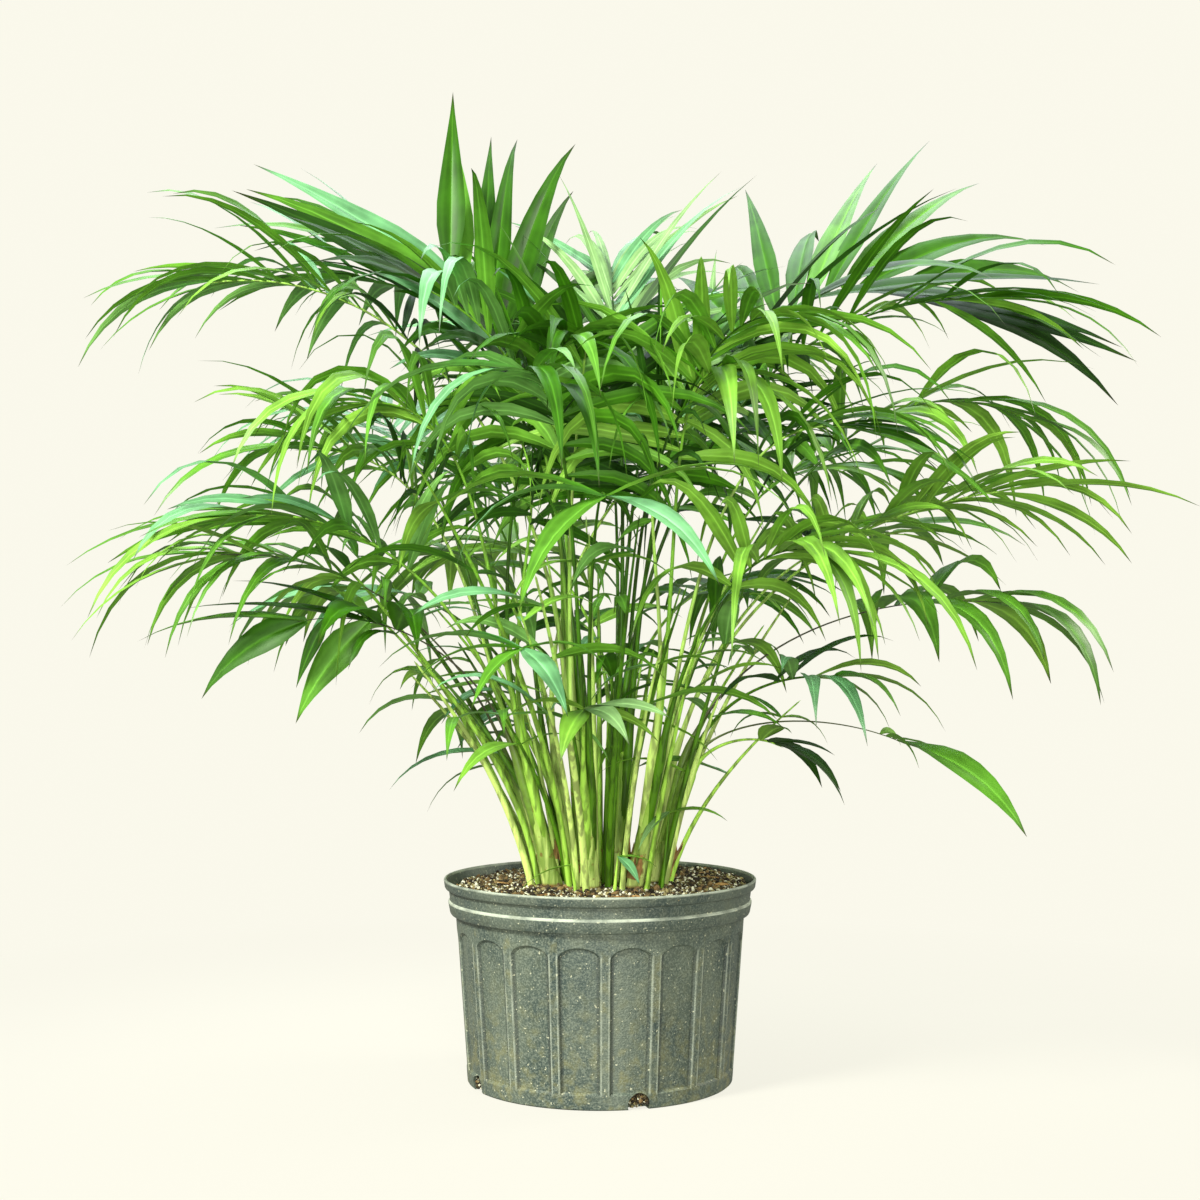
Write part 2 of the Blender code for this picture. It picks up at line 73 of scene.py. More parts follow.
# %% Camera
CAMERA_PLACE = (0.0, -1.58, 0.372)
CAMERA_TILT = 91.55
CAMERA_LENS = 54.24

camera_data = bpy.data.cameras.new("camera")
camera_data.lens = CAMERA_LENS
camera_data.sensor_width = 36.0
camera = bpy.data.objects.new("camera", camera_data)
camera.location = CAMERA_PLACE
camera.rotation_euler = (radians(CAMERA_TILT), 0, 0)
bpy.context.scene.collection.objects.link(camera)
bpy.context.scene.camera = camera
bpy.context.scene.view_settings.view_transform = "Standard"
print("camera at", CAMERA_PLACE)

# %% [markdown]
# Small helpers come first. Edit-mode operators work on whatever is selected, so open_mesh() picks
# points or faces by their place before the mesh is opened. A Heap joins many small shapes, since one
# mesh of a thousand leaflets is far lighter than a thousand objects.

# %% Helpers for modelling
CLOSE = 1e-5


def select_only(made):
    """Leaves one object selected and active, in object mode."""
    bpy.ops.object.select_all(action="DESELECT")
    made.select_set(True)
    bpy.context.view_layer.objects.active = made


def open_mesh(made, wanted=None, faces=False):
    """Opens a mesh with the points or faces selected for which wanted holds, or with everything."""
    select_only(made)
    bpy.context.tool_settings.mesh_select_mode = (not faces, False, faces)
    bpy.ops.object.mode_set(mode="EDIT")
    bpy.ops.mesh.select_all(action="DESELECT" if wanted else "SELECT")
    if wanted:
        bpy.ops.object.mode_set(mode="OBJECT")
        for part in made.data.polygons if faces else made.data.vertices:
            part.select = bool(wanted(part))
        bpy.ops.object.mode_set(mode="EDIT")


def close_ring(made, wanted):
    """Fills the ring of points for which wanted holds with one face."""
    open_mesh(made, wanted)
    bpy.ops.mesh.edge_face_add()
    bpy.ops.object.mode_set(mode="OBJECT")


def turn_profile(name, profile, columns):
    """A turned shell: a circle at the first point, extruded and resized to each point after it."""
    bpy.ops.object.select_all(action="DESELECT")
    radius, height = profile[0]
    bpy.ops.mesh.primitive_circle_add(vertices=columns, radius=radius, location=(0, 0, 0))
    made = bpy.context.active_object
    made.name = made.data.name = name
    for vertex in made.data.vertices:
        vertex.co.z = height
    open_mesh(made)
    for (near, low), (far, high) in zip(profile, profile[1:]):
        bpy.ops.mesh.extrude_edges_move(TRANSFORM_OT_translate={"value": (0, 0, high - low)})
        share = far / near
        bpy.ops.transform.resize(value=(share, share, 1), center_override=(0, 0, high))
    bpy.ops.object.mode_set(mode="OBJECT")
    return made


def face_outwards(made, inside=False):
    open_mesh(made)
    bpy.ops.mesh.normals_make_consistent(inside=inside)
    bpy.ops.object.mode_set(mode="OBJECT")


def smooth_by_angle(made, degrees):
    select_only(made)
    bpy.ops.object.shade_smooth_by_angle(angle=radians(degrees))


class Heap:
    """Collects many small shapes and makes one joined mesh of them."""

    def __init__(self):
        self.points, self.faces, self.maps, self.slots, self.count = [], [], [], [], 0

    def add(self, points, form):
        """form holds the faces, a map place for each corner of each face, and a slot for each face."""
        faces, places, slots = form
        self.points.append(np.asarray(points, dtype=float).reshape(-1, 3))
        self.faces += [[self.count + corner for corner in face] for face in faces]
        self.maps.append(places)
        self.slots.append(slots)
        self.count += len(self.points[-1])

    def make(self, name, materials, degrees):
        mesh = bpy.data.meshes.new(name)
        mesh.from_pydata(np.concatenate(self.points), [], self.faces)
        layer = mesh.uv_layers.new(name="along_the_piece")
        layer.data.foreach_set("uv", np.concatenate(self.maps).astype(np.float32).ravel())
        mesh.polygons.foreach_set("material_index", np.concatenate(self.slots).astype(np.int32))
        for material in materials:
            mesh.materials.append(material)
        mesh.update()
        made = bpy.data.objects.new(name, mesh)
        bpy.context.scene.collection.objects.link(made)
        mesh.shade_smooth()
        mesh.set_sharp_from_angle(angle=radians(degrees))
        print(name, "has", sum(len(face) - 2 for face in self.faces), "triangles")
        return made


def dress(made, slot, *nodes):
    """The piece rides on the plant and stands for these nodes. The slot is not used."""
    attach(made, "root")
    if nodes:
        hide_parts(*nodes)


print("helpers ready")

# %% [markdown]
# Materials are built from nodes. A colour is easier to judge as it looks on a screen, so paint()
# turns screen values into the linear ones that shaders expect. One effect serves all but the floor:
# soft noise, sharpened to a mask. It becomes a node group named mottle, with its own inputs.

# %% Helpers for materials


def paint(*screen):
    """Screen red, green and blue, from 0 to 255, as the linear colour of a shader."""
    shares = [value / 255 for value in screen]
    return tuple(s / 12.92 if s <= 0.04045 else ((s + 0.055) / 1.055) ** 2.4 for s in shares) + (1.0,)


def tinted(screen, share, extra=0):
    """A screen colour made darker or lighter, painted."""
    return paint(*(min(255, value * share + extra) for value in screen))


def build_mottle():
    """Noise on Object coordinates, stretched as asked, as a mask from 0 at Low to 1 at High."""
    group = bpy.data.node_groups.new("mottle", "ShaderNodeTree")
    for name, kind, value in (
        ("Scale", "Float", 20.0), ("Stretch", "Vector", (1, 1, 1)), ("Low", "Float", 0.4),
        ("High", "Float", 0.6), ("Detail", "Float", 3.0),
    ):
        socket = group.interface.new_socket(name=name, in_out="INPUT", socket_type=f"NodeSocket{kind}")
        socket.default_value = value
    group.interface.new_socket(name="Mask", in_out="OUTPUT", socket_type="NodeSocketFloat")
    given, result, place, stretch, cloud, sharpen = [group.nodes.new(kind) for kind in (
        "NodeGroupInput", "NodeGroupOutput", "ShaderNodeTexCoord", "ShaderNodeMapping",
        "ShaderNodeTexNoise", "ShaderNodeMapRange",
    )]
    for source, out, target, into in (
        (place, "Object", stretch, "Vector"), (given, "Stretch", stretch, "Scale"),
        (stretch, "Vector", cloud, "Vector"), (given, "Scale", cloud, "Scale"),
        (given, "Detail", cloud, "Detail"), (cloud, "Fac", sharpen, "Value"),
        (given, "Low", sharpen, "From Min"), (given, "High", sharpen, "From Max"),
        (sharpen, "Result", result, "Mask"),
    ):
        group.links.new(source.outputs[out], target.inputs[into])
    return group


MOTTLE = build_mottle()


class Finish:
    """A material being built, with short ways to add a node and join it to others."""

    def __init__(self, name, colour, roughness, **constants):
        self.material = bpy.data.materials.new(name)
        self.material.use_nodes = True
        self.nodes, self.links = self.material.node_tree.nodes, self.material.node_tree.links
        self.shader = self.nodes["Principled BSDF"]
        for socket, value in (("Base Color", colour), ("Roughness", roughness), *constants.items()):
            self.give(socket.replace("_", " "), value)

    def feed(self, socket, value):
        if isinstance(value, bpy.types.NodeSocket):
            self.links.new(value, socket)
        else:
            socket.default_value = value

    def give(self, socket, value):
        """Feeds one of the shader's own sockets."""
        self.feed(self.shader.inputs[socket], value)

    def put(self, kind, *inputs, out=0, **settings):
        """Adds a node, sets it up, feeds its inputs in order and gives back one of its outputs."""
        node = self.nodes.new("ShaderNode" + kind)
        for setting, value in settings.items():
            setattr(node, setting, value)
        for socket, value in zip(node.inputs, inputs):
            self.feed(socket, value)
        return node.outputs[out]

    def mottle(self, scale, low, high, stretch=(1, 1, 1), detail=3.0):
        node = self.nodes.new("ShaderNodeGroup")
        node.node_tree = MOTTLE
        for socket, value in zip(node.inputs, (scale, stretch, low, high, detail)):
            socket.default_value = value
        return node.outputs["Mask"]

    def mix(self, mask, first, second):
        """Colours mixed by a mask: first where it is 0, second where it is 1."""
        node = self.nodes.new("ShaderNodeMix")
        node.data_type = "RGBA"
        for number, value in ((0, mask), (6, first), (7, second)):
            self.feed(node.inputs[number], value)
        return node.outputs[2]

    def lay_coats(self, under, *coats):
        """The base colour: each coat is a mask, its strength and a screen colour to lay over the rest."""
        for mask, strength, screen in coats:
            under = self.mix(self.times(mask, strength), under, paint(*screen))
        self.give("Base Color", under)

    def math(self, operation, *values):
        return self.put("Math", *values, operation=operation)

    def times(self, first, second):
        return self.math("MULTIPLY", first, second)

    def range(self, value, low, high, to_low=0.0, to_high=1.0):
        return self.put("MapRange", value, low, high, to_low, to_high, interpolation_type="SMOOTHSTEP")

    def band(self, value, low, high, soft):
        """A mask that is full between low and high, and fades out over soft on both sides."""
        return self.times(self.range(value, low - soft, low), self.range(value, high, high + soft, 1.0, 0.0))

    def place(self, axis):
        """One Object coordinate, in metres: 0, 1 or 2 for X, Y or Z."""
        return self.put("SeparateXYZ", self.put("TexCoord", out="Object"), out=axis)

    def map_place(self, axis):
        """One coordinate of the piece's own map: across is 0, along is 1."""
        return self.put("SeparateXYZ", self.put("UVMap"), out=axis)

    def bump(self, height, distance, strength=1.0):
        node = self.nodes.new("ShaderNodeBump")
        node.inputs["Strength"].default_value = strength
        node.inputs["Distance"].default_value = distance
        self.links.new(height, node.inputs["Height"])
        self.give("Normal", node.outputs["Normal"])


print("node groups:", [group.name for group in bpy.data.node_groups])

# %% [markdown]
# The photograph has a seamless pale cream ground. A flat floor that curves up far away, all round,
# gives the same: no horizon from any side. Near the pot a small share of the floor's brightness comes
# from the lamps, so that the pot casts a soft shadow, and the rest is its own glow. Further out it
# only glows, so its tone stays even. The plant sees a dimmer glow, or its own shadows would drown.

# %% Studio floor
FLOOR_PROFILE = ((0.02, 0), (1.2, 0), (4.6, 0), (5.6, 0.16), (6.3, 0.7), (6.7, 1.6), (6.9, 3.0), (7.0, 7.0))
FLOOR_COLUMNS = 96
CREAM = (251, 249, 236)
LIT_SHARE = 0.12
LIT_REACH = (0.20, 0.95)
GLOW_NEAR = 0.845
GLOW_FAR = 0.995
GLOW_REACH = (0.24, 1.00)
GLOW_ON_PLANT = 0.30

floor = turn_profile("studio_floor", FLOOR_PROFILE, FLOOR_COLUMNS)
close_ring(floor, lambda vertex: Vector(vertex.co[:2]).length < 1.5 * FLOOR_PROFILE[0][0])
face_outwards(floor, inside=True)
smooth_by_angle(floor, 40)
cream = Finish("studio_cream", paint(*CREAM), 0.9, Emission_Color=paint(*CREAM), Specular_IOR_Level=0.0)
away = cream.put("VectorMath", cream.put("TexCoord", out="Object"), operation="LENGTH", out="Value")
glow = cream.range(away, *GLOW_REACH, GLOW_NEAR, GLOW_FAR)
dimmed = cream.range(cream.put("LightPath"), 0.0, 1.0, GLOW_ON_PLANT, 1.0)
cream.give("Emission Strength", cream.times(glow, dimmed))
lit = cream.range(away, *LIT_REACH, LIT_SHARE, 0.0)
cream.give("Base Color", cream.mix(lit, paint(0, 0, 0), paint(*CREAM)))
cream.material.cycles.emission_sampling = "NONE"
floor.data.materials.append(cream.material)
print("floor reaches", round(max(floor.dimensions) / 2, 1), "m from the pot")

# %% [markdown]
# A soft key lamp at the front left lights the leaves and lays the shadow on the right. A low lamp in
# front lifts the stems under the crown. A wide cool lamp above and behind is mirrored by the tops of
# the leaves, which gives them their bluish sheen, and a weak warm one on the right brightens the
# edges there. The world fills what is left.

# %% Lamps
LAMPS = (
    # name, place, size, watts, colour
    ("key_lamp", (-1.7, -1.6, 2.2), 0.7, 142.0, (1.0, 0.98, 0.90)),
    ("front_lamp", (0.3, -2.5, 0.5), 0.9, 42.0, (1.0, 0.99, 0.90)),
    ("sky_lamp", (0.0, 1.3, 2.7), 2.2, 50.0, (0.84, 0.96, 1.0)),
    ("right_lamp", (2.0, 0.6, 1.6), 1.0, 30.0, (1.0, 0.97, 0.86)),
)
AIM = Vector((0, 0, 0.45))
WORLD_STRENGTH = 0.20

for name, lamp_place, size, watts, tint in LAMPS:
    data = bpy.data.lights.new(name, "AREA")
    data.shape = "DISK"
    data.size, data.energy, data.color = size, watts, tint
    lamp = bpy.data.objects.new(name, data)
    lamp.location = lamp_place
    lamp.rotation_euler = (AIM - Vector(lamp_place)).to_track_quat("-Z", "Y").to_euler()
    lamp.visible_camera = False
    bpy.context.scene.collection.objects.link(lamp)

world = bpy.data.worlds.new("studio_world")
world.use_nodes = True
sky = world.node_tree.nodes["Background"]
sky.inputs["Color"].default_value = paint(*CREAM)
sky.inputs["Strength"].default_value = WORLD_STRENGTH
bpy.context.scene.world = world
print("lamps:", len(LAMPS))

# %% [markdown]
# The pot is blow-moulded plastic: a thin tapered wall with eighteen arched flutes pressed in, two
# collars, and a rolled lip. A circle is extruded up the outside, over the lip and down the inside.
# Its columns stand closer together near each flute's sides, so that the arches come out round.

# %% Pot: the turned wall
RIM_RADIUS = 0.1355
POT_HEIGHT = 0.174
BASE_RADIUS = 0.1140
SHOULDER_RADIUS = RIM_RADIUS - 0.0105
COLLAR_RADIUS = RIM_RADIUS - 0.0055
FOOT_STEP = 0.0014
WALL_TOP = 0.1430
FLUTES = 18
FIRST_RIDGE = 272.0
FLUTE_HALF = 8.3
FLUTE_COLUMNS = 12
FLUTE_FOOT = 0.012
FLUTE_SHOULDER = 0.1215
FLUTE_ARCH = 0.0105
DRAINS = (206, 286, 26, 106)
DRAIN_RADIUS = 0.0095
DRAIN_HEIGHT = 0.004


def wall_radius(height):
    """The outside of the tapered wall between the flutes' foot and the lower collar."""
    share = (height - FLUTE_FOOT) / (WALL_TOP - FLUTE_FOOT)
    return BASE_RADIUS + FOOT_STEP + (SHOULDER_RADIUS - BASE_RADIUS - FOOT_STEP) * share


POT_PROFILE = (
    # up the outside: the foot, the tapered wall, the two collars and the lip
    (BASE_RADIUS - 0.0008, 0.0), (BASE_RADIUS + 0.0006, 0.0012), (BASE_RADIUS + 0.0010, 0.0055),
    *((wall_radius(height), height) for height in (FLUTE_FOOT, 0.05, 0.09, FLUTE_SHOULDER, 0.1350, 0.1415)),
    (SHOULDER_RADIUS + 0.0002, 0.1432), (COLLAR_RADIUS - 0.0008, 0.1442), (COLLAR_RADIUS, 0.1455),
    (COLLAR_RADIUS + 0.0016, 0.1536), (COLLAR_RADIUS + 0.0014, 0.1548), (COLLAR_RADIUS + 0.0002, 0.1556),
    (COLLAR_RADIUS + 0.0002, 0.1572), (COLLAR_RADIUS + 0.0012, 0.1646), (COLLAR_RADIUS + 0.0040, 0.1660),
    (RIM_RADIUS - 0.0008, 0.1672), (RIM_RADIUS, 0.1730), (RIM_RADIUS - 0.0006, POT_HEIGHT),
    # and down the inside, to the top of the floor
    (RIM_RADIUS - 0.0018, POT_HEIGHT), (RIM_RADIUS - 0.0024, 0.1730), (COLLAR_RADIUS - 0.0010, 0.1650),
    (COLLAR_RADIUS - 0.0014, 0.1560), (SHOULDER_RADIUS - 0.0022, 0.1440), (BASE_RADIUS - 0.0024, 0.0030),
)


def column_angle(number):
    """Where a column stands, in degrees: twelve to a flute, closer together at its sides."""
    flute, place = divmod(number, FLUTE_COLUMNS)
    middle = FIRST_RIDGE + (flute + 0.5) * 360 / FLUTES
    return middle + FLUTE_HALF * sin(radians(180 * place / (FLUTE_COLUMNS - 1) - 90))


def from_flute(point):
    """How far round a point is from the middle of its flute, in degrees."""
    bearing = np.degrees(np.arctan2(point[1], point[0])) - FIRST_RIDGE
    return bearing % (360 / FLUTES) - 180 / FLUTES


pot = turn_profile("nursery_pot", POT_PROFILE, FLUTES * FLUTE_COLUMNS)
bearings = sorted(radians(column_angle(k)) % (2 * pi) for k in range(FLUTES * FLUTE_COLUMNS))
for vertex in pot.data.vertices:
    reach, bearing = Vector(vertex.co[:2]).length, np.arctan2(vertex.co.y, vertex.co.x) % (2 * pi)
    bearing = bearings[round(bearing / (2 * pi) * len(bearings)) % len(bearings)]
    vertex.co.x, vertex.co.y = reach * cos(bearing), reach * sin(bearing)
for vertex in pot.data.vertices:
    if abs(vertex.co.z - FLUTE_SHOULDER) < CLOSE:
        beside = min(1.0, abs(from_flute(vertex.co)) / FLUTE_HALF)
        height = FLUTE_SHOULDER + FLUTE_ARCH * sqrt(1 - beside**2)
        reach = wall_radius(height) / Vector(vertex.co[:2]).length
        vertex.co = (vertex.co.x * reach, vertex.co.y * reach, height)
print("pot wall:", len(pot.data.vertices), "points in", FLUTES * FLUTE_COLUMNS, "columns")

# %% [markdown]
# The two open ends are closed, and the faces are made to point outwards. Then the faces of all the
# flutes are selected at once and inset: the inner faces sink by a little over two millimetres, and
# the narrow sloping border that the inset leaves is what catches the light along each rib. Last, a
# Boolean modifier for each drain hole cuts a short cylinder out of the foot.

# %% Pot: floor, flutes and drain holes
FLUTE_DEPTH = 0.0023
FLUTE_SLOPE = 0.0018

for end in (POT_PROFILE[0][1], POT_PROFILE[-1][1]):
    close_ring(pot, lambda vertex: abs(vertex.co.z - end) < CLOSE)
face_outwards(pot)


def in_flute(face):
    """The outside faces between the flute's foot and its arch, all but the ribs."""
    outside = face.normal.dot(Vector((face.center.x, face.center.y, 0))) > 0
    heights = [pot.data.vertices[k].co.z for k in face.vertices]
    below_arch = FLUTE_FOOT - CLOSE < min(heights) and max(heights) < FLUTE_SHOULDER + FLUTE_ARCH + CLOSE
    return outside and below_arch and abs(from_flute(face.center)) < FLUTE_HALF


open_mesh(pot, in_flute, faces=True)
bpy.ops.mesh.inset(thickness=FLUTE_SLOPE, depth=-FLUTE_DEPTH, use_even_offset=True)
bpy.ops.object.mode_set(mode="OBJECT")
for bearing in DRAINS:
    bpy.ops.object.select_all(action="DESELECT")
    bpy.ops.mesh.primitive_cylinder_add(
        vertices=28, radius=DRAIN_RADIUS, depth=0.020, rotation=(0, pi / 2, radians(bearing)),
        location=(BASE_RADIUS * cos(radians(bearing)), BASE_RADIUS * sin(radians(bearing)), DRAIN_HEIGHT))
    drill = bpy.context.active_object
    hole = pot.modifiers.new("drain", "BOOLEAN")
    hole.operation, hole.solver, hole.object = "DIFFERENCE", "EXACT", drill
    select_only(pot)
    bpy.ops.object.modifier_apply(modifier=hole.name)
    bpy.data.objects.remove(drill)
smooth_by_angle(pot, 30)
print("pot:", len(pot.data.polygons), "faces, with", len(DRAINS), "drain holes")

# %% [markdown]
# Years of sun and watering have turned the black plastic a dull grey-green. The finish is laid in coats over
# wide cloudy patches: runs of water down the wall, yellow-green dust that lies thickest near the ground, with
# a pale painted highlight along the rib borders in the same coat, fine grit, painted shade in the crevices
# beside the ribs, and pale painted highlights on the rib edges, the ledge and the lip. The masks come from
# noise, from the height, and from how far round a point is from the nearest rib.

# %% Pot: weathered plastic
RIB_EDGE = 0.05
RIB_TOP = 0.14

# Points on the rib borders, which get a pale painted highlight along the ribs
rib_highlight_mask = pot.data.attributes.new("rib_mask", "FLOAT", "POINT")
for vertex, value in zip(pot.data.vertices, rib_highlight_mask.data):
    on_wall = FLUTE_FOOT < vertex.co.z < RIB_TOP
    value.value = 1.0 if on_wall and abs(from_flute(vertex.co)) > FLUTE_HALF - RIB_EDGE else 0.0

plastic = Finish("weathered_plastic", paint(120, 132, 116), 0.55)
height = plastic.place(2)
bearing = plastic.math("ARCTAN2", plastic.place(1), plastic.place(0))
turned = plastic.times(bearing, FLUTES / (2 * pi))
turns = plastic.math("ADD", turned, FLUTES + 0.5 - FIRST_RIDGE / 360 * FLUTES)
from_rib = plastic.math("ABSOLUTE", plastic.math("SUBTRACT", plastic.math("FRACT", turns), 0.5))
wall_only = plastic.band(height, 0.014, 0.124, 0.004)

low = plastic.range(height, 0.0, 0.12, 0.75, 0.12)
# Dust lies thickest near the ground; along the rib borders the same pale coat is a painted highlight
on_ribs = plastic.times(plastic.put("Attribute", attribute_name="rib_mask", out="Fac"), 0.5)
dust_and_rib_highlight = plastic.times(plastic.mottle(110, 0.46, 0.68), plastic.math("MAXIMUM", low, on_ribs))
grit = plastic.mottle(620, 0.46, 0.62, detail=4.0)
# Painted shade: a darker band in the crevice beside each rib
crevice_shade = plastic.times(plastic.band(from_rib, 0.115, 0.15, 0.03), wall_only)
# Painted highlights: pale lines along the rib edges, the ledge and the lip, made patchy by noise
rib_edge_highlight = plastic.times(plastic.band(from_rib, 0.070, 0.085, 0.02), plastic.times(wall_only, 0.46))
ledge_highlight = plastic.band(height, 0.1540, 0.1556, 0.0006)
lip = plastic.times(plastic.band(height, 0.1728, 0.1760, 0.0010), 0.7)
painted_highlights = plastic.math("MAXIMUM", rib_edge_highlight, plastic.math("MAXIMUM", ledge_highlight, lip))
highlight_strength = plastic.range(plastic.mottle(60, 0.30, 0.62), 0, 1, 0.35, 1.0)

plastic.lay_coats(
    plastic.mix(plastic.mottle(20, 0.38, 0.62), paint(56, 72, 68), paint(86, 98, 86)),
    (plastic.mottle(34, 0.46, 0.70, stretch=(1, 1, 0.12)), 0.5, (106, 117, 104)),
    # dust near the ground, and a painted highlight along the rib borders
    (dust_and_rib_highlight, 1.0, (128, 128, 86)),
    (grit, 0.36, (150, 160, 142)),
    (plastic.range(height, 0.1415, 0.1445), 0.12, (66, 74, 66)),
    # painted shade in the crevices beside the ribs
    (crevice_shade, 0.5, (50, 58, 54)),
    # pale painted highlights on the rib edges, the ledge and the lip
    (painted_highlights, highlight_strength, (192, 202, 184)),
    (plastic.mottle(420, 0.70, 0.75, detail=1.0), 0.75, (206, 208, 178)),
)
plastic.give("Roughness", plastic.range(grit, 0, 1, 0.46, 0.68))
plastic.bump(plastic.mottle(700, 0.3, 0.7), 0.0004, 0.6)
pot.data.materials.clear()
pot.data.materials.append(plastic.material)
dress(pot, "pot_plastic", "pot")
print("pot finished")

# %% [markdown]
# The potting mix fills the pot almost to the lip and is heaped a little at the back right. A turned
# shell gives the bed, and noise pushes its top up and down, since no tool shapes soil as evenly as
# a formula does. Crumbs, white perlite and tan bark then lie all over it.

# %% Potting mix: the bed
BED_EDGE = 0.1262
BED_RINGS = 30
BED_COLUMNS = 120
BED_FOOT = 0.0040
BED_TOP = 0.166


def bed_height(x, y):
    """The top of the mix: highest at the back right, lower along the wall, rough all over."""
    reach = min(1.0, sqrt(x * x + y * y) / BED_EDGE)
    heap = 0.0026 * (x + y) / BED_EDGE
    coarse = 0.0016 * noise.noise(Vector((x, y, 0.3)) * 45)
    fine = 0.0007 * noise.noise(Vector((x, y, 1.7)) * 170)
    return 0.1698 - 0.0030 * reach**3 + heap * reach + coarse + fine


sides = [(BASE_RADIUS - 0.0036, BED_FOOT), (SHOULDER_RADIUS - 0.0034, 0.1400)]
top_rings = [(BED_EDGE * (1 - k / BED_RINGS) + 0.001, BED_TOP) for k in range(BED_RINGS)]
bed = turn_profile("potting_mix_bed", sides + top_rings, BED_COLUMNS)
for end, widest in ((BED_FOOT, 1.0), (BED_TOP, top_rings[-1][0] * 1.01)):
    close_ring(bed, lambda vertex: abs(vertex.co.z - end) < CLOSE and Vector(vertex.co[:2]).length < widest)
for vertex in bed.data.vertices:
    if vertex.co.z > 0.15:
        vertex.co.z = bed_height(vertex.co.x, vertex.co.y)
face_outwards(bed)
smooth_by_angle(bed, 60)

soil = Finish("damp_mix", paint(70, 58, 38), 0.92)
crumbly = soil.mix(soil.mottle(420, 0.42, 0.60), paint(44, 36, 22), paint(98, 84, 54))
soil.lay_coats(crumbly, (soil.mottle(900, 0.62, 0.70), 1.0, (176, 170, 128)))
soil.bump(soil.mottle(500, 0.2, 0.8), 0.002)
bed.data.materials.clear()
bed.data.materials.append(soil.material)
dress(bed, "potting_mix", "potting_mix")
print("bed:", len(bed.data.polygons), "faces")

# %% [markdown]
# A crumb is an icosphere of twenty faces, modelled once. Each copy is squashed, turned and roughened
# by its own random numbers from a fixed seed. The copies of one kind are joined into one mesh, and
# each kind has its own colour, so the colours stay true wherever a crumb lies.

# %% Potting mix: crumbs, perlite and bark
CRUMB_ROUGH = 0.25
CRUMB_KINDS = (
    # piece, seed, count, crumbs in each drain hole, least and greatest size, squash, screen colour
    ("mix_crumbs_black", 11, 1500, 16, 0.0009, 0.0024, (0.6, 1.2), (44, 36, 24)),
    ("mix_crumbs_brown", 12, 1700, 18, 0.0008, 0.0022, (0.5, 1.3), (80, 68, 40)),
    ("mix_crumbs_tan", 13, 1900, 16, 0.0007, 0.0018, (0.4, 1.5), (154, 144, 96)),
    ("bark_chips", 14, 420, 4, 0.0016, 0.0036, (0.25, 1.2), (128, 104, 64)),
    ("perlite_grains", 15, 1500, 12, 0.0007, 0.0020, (0.7, 1.1), (232, 232, 206)),
)

bpy.ops.object.select_all(action="DESELECT")
bpy.ops.mesh.primitive_ico_sphere_add(subdivisions=1, radius=1.0)
pattern = bpy.context.active_object
CRUMB = np.array([vertex.co for vertex in pattern.data.vertices])
CRUMB_FACES = [list(face.vertices) for face in pattern.data.polygons]
CRUMB_FORM = (CRUMB_FACES, np.zeros((3 * len(CRUMB_FACES), 2)), np.zeros(len(CRUMB_FACES)))
bpy.data.objects.remove(pattern)


def crumb_points(draw, size, squash):
    """The crumb's points, roughened, squashed and then turned at random."""
    shape = CRUMB * (1 + CRUMB_ROUGH * draw.uniform(-1, 1, size=(len(CRUMB), 1)))
    shape = shape * size * draw.uniform(*squash, size=3)
    axes, _ = np.linalg.qr(draw.normal(size=(3, 3)))
    return shape @ (axes * np.sign(np.linalg.det(axes))).T


def bed_place(draw):
    """A random place on the bed, and its height there."""
    reach = BED_EDGE * sqrt(draw.uniform(0, 1))
    bearing = draw.uniform(0, 2 * pi)
    x, y = reach * cos(bearing), reach * sin(bearing)
    return np.array((x, y, bed_height(x, y)))


def drain_place(draw, bearing):
    """A random place in the drain hole at a bearing."""
    swing, height = draw.uniform(-0.0075, 0.0075), draw.uniform(0.0022, 0.0105)
    reach = BASE_RADIUS - 0.0010 - draw.uniform(0, 0.0020)
    angle = radians(bearing) + swing / BASE_RADIUS
    return np.array((reach * cos(angle), reach * sin(angle), height))


for piece_name, seed, count, in_drain, least, greatest, squash, screen in CRUMB_KINDS:
    draw = np.random.default_rng(seed)
    heap = Heap()
    for _ in range(count):
        size = draw.uniform(least, greatest)
        lift = np.array((0, 0, size * draw.uniform(0.0, 0.5)))
        heap.add(crumb_points(draw, size, squash) + bed_place(draw) + lift, CRUMB_FORM)
    for bearing in DRAINS:
        for _ in range(in_drain):
            size = draw.uniform(least, greatest) * 0.8
            place = drain_place(draw, bearing)
            heap.add(crumb_points(draw, size, squash) + place, CRUMB_FORM)
    grain = Finish(piece_name, paint(*screen), 0.9)
    cloudy = grain.mix(grain.mottle(160, 0.35, 0.65), tinted(screen, 0.78), tinted(screen, 1.08))
    grain.give("Base Color", cloudy)
    dress(heap.make(piece_name, [grain.material], 30), "potting_mix", "potting_mix")

# %% [markdown]
# The palm grows by a rule. Each cane leans out from its foot. Each frond is one curve: it leaves its
# cane along the cane's axis and arches to where its tip belongs, and its leaflets leave the rib at
# an angle that closes towards the tip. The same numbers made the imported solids, so the finer leaves
# lie in the same space.

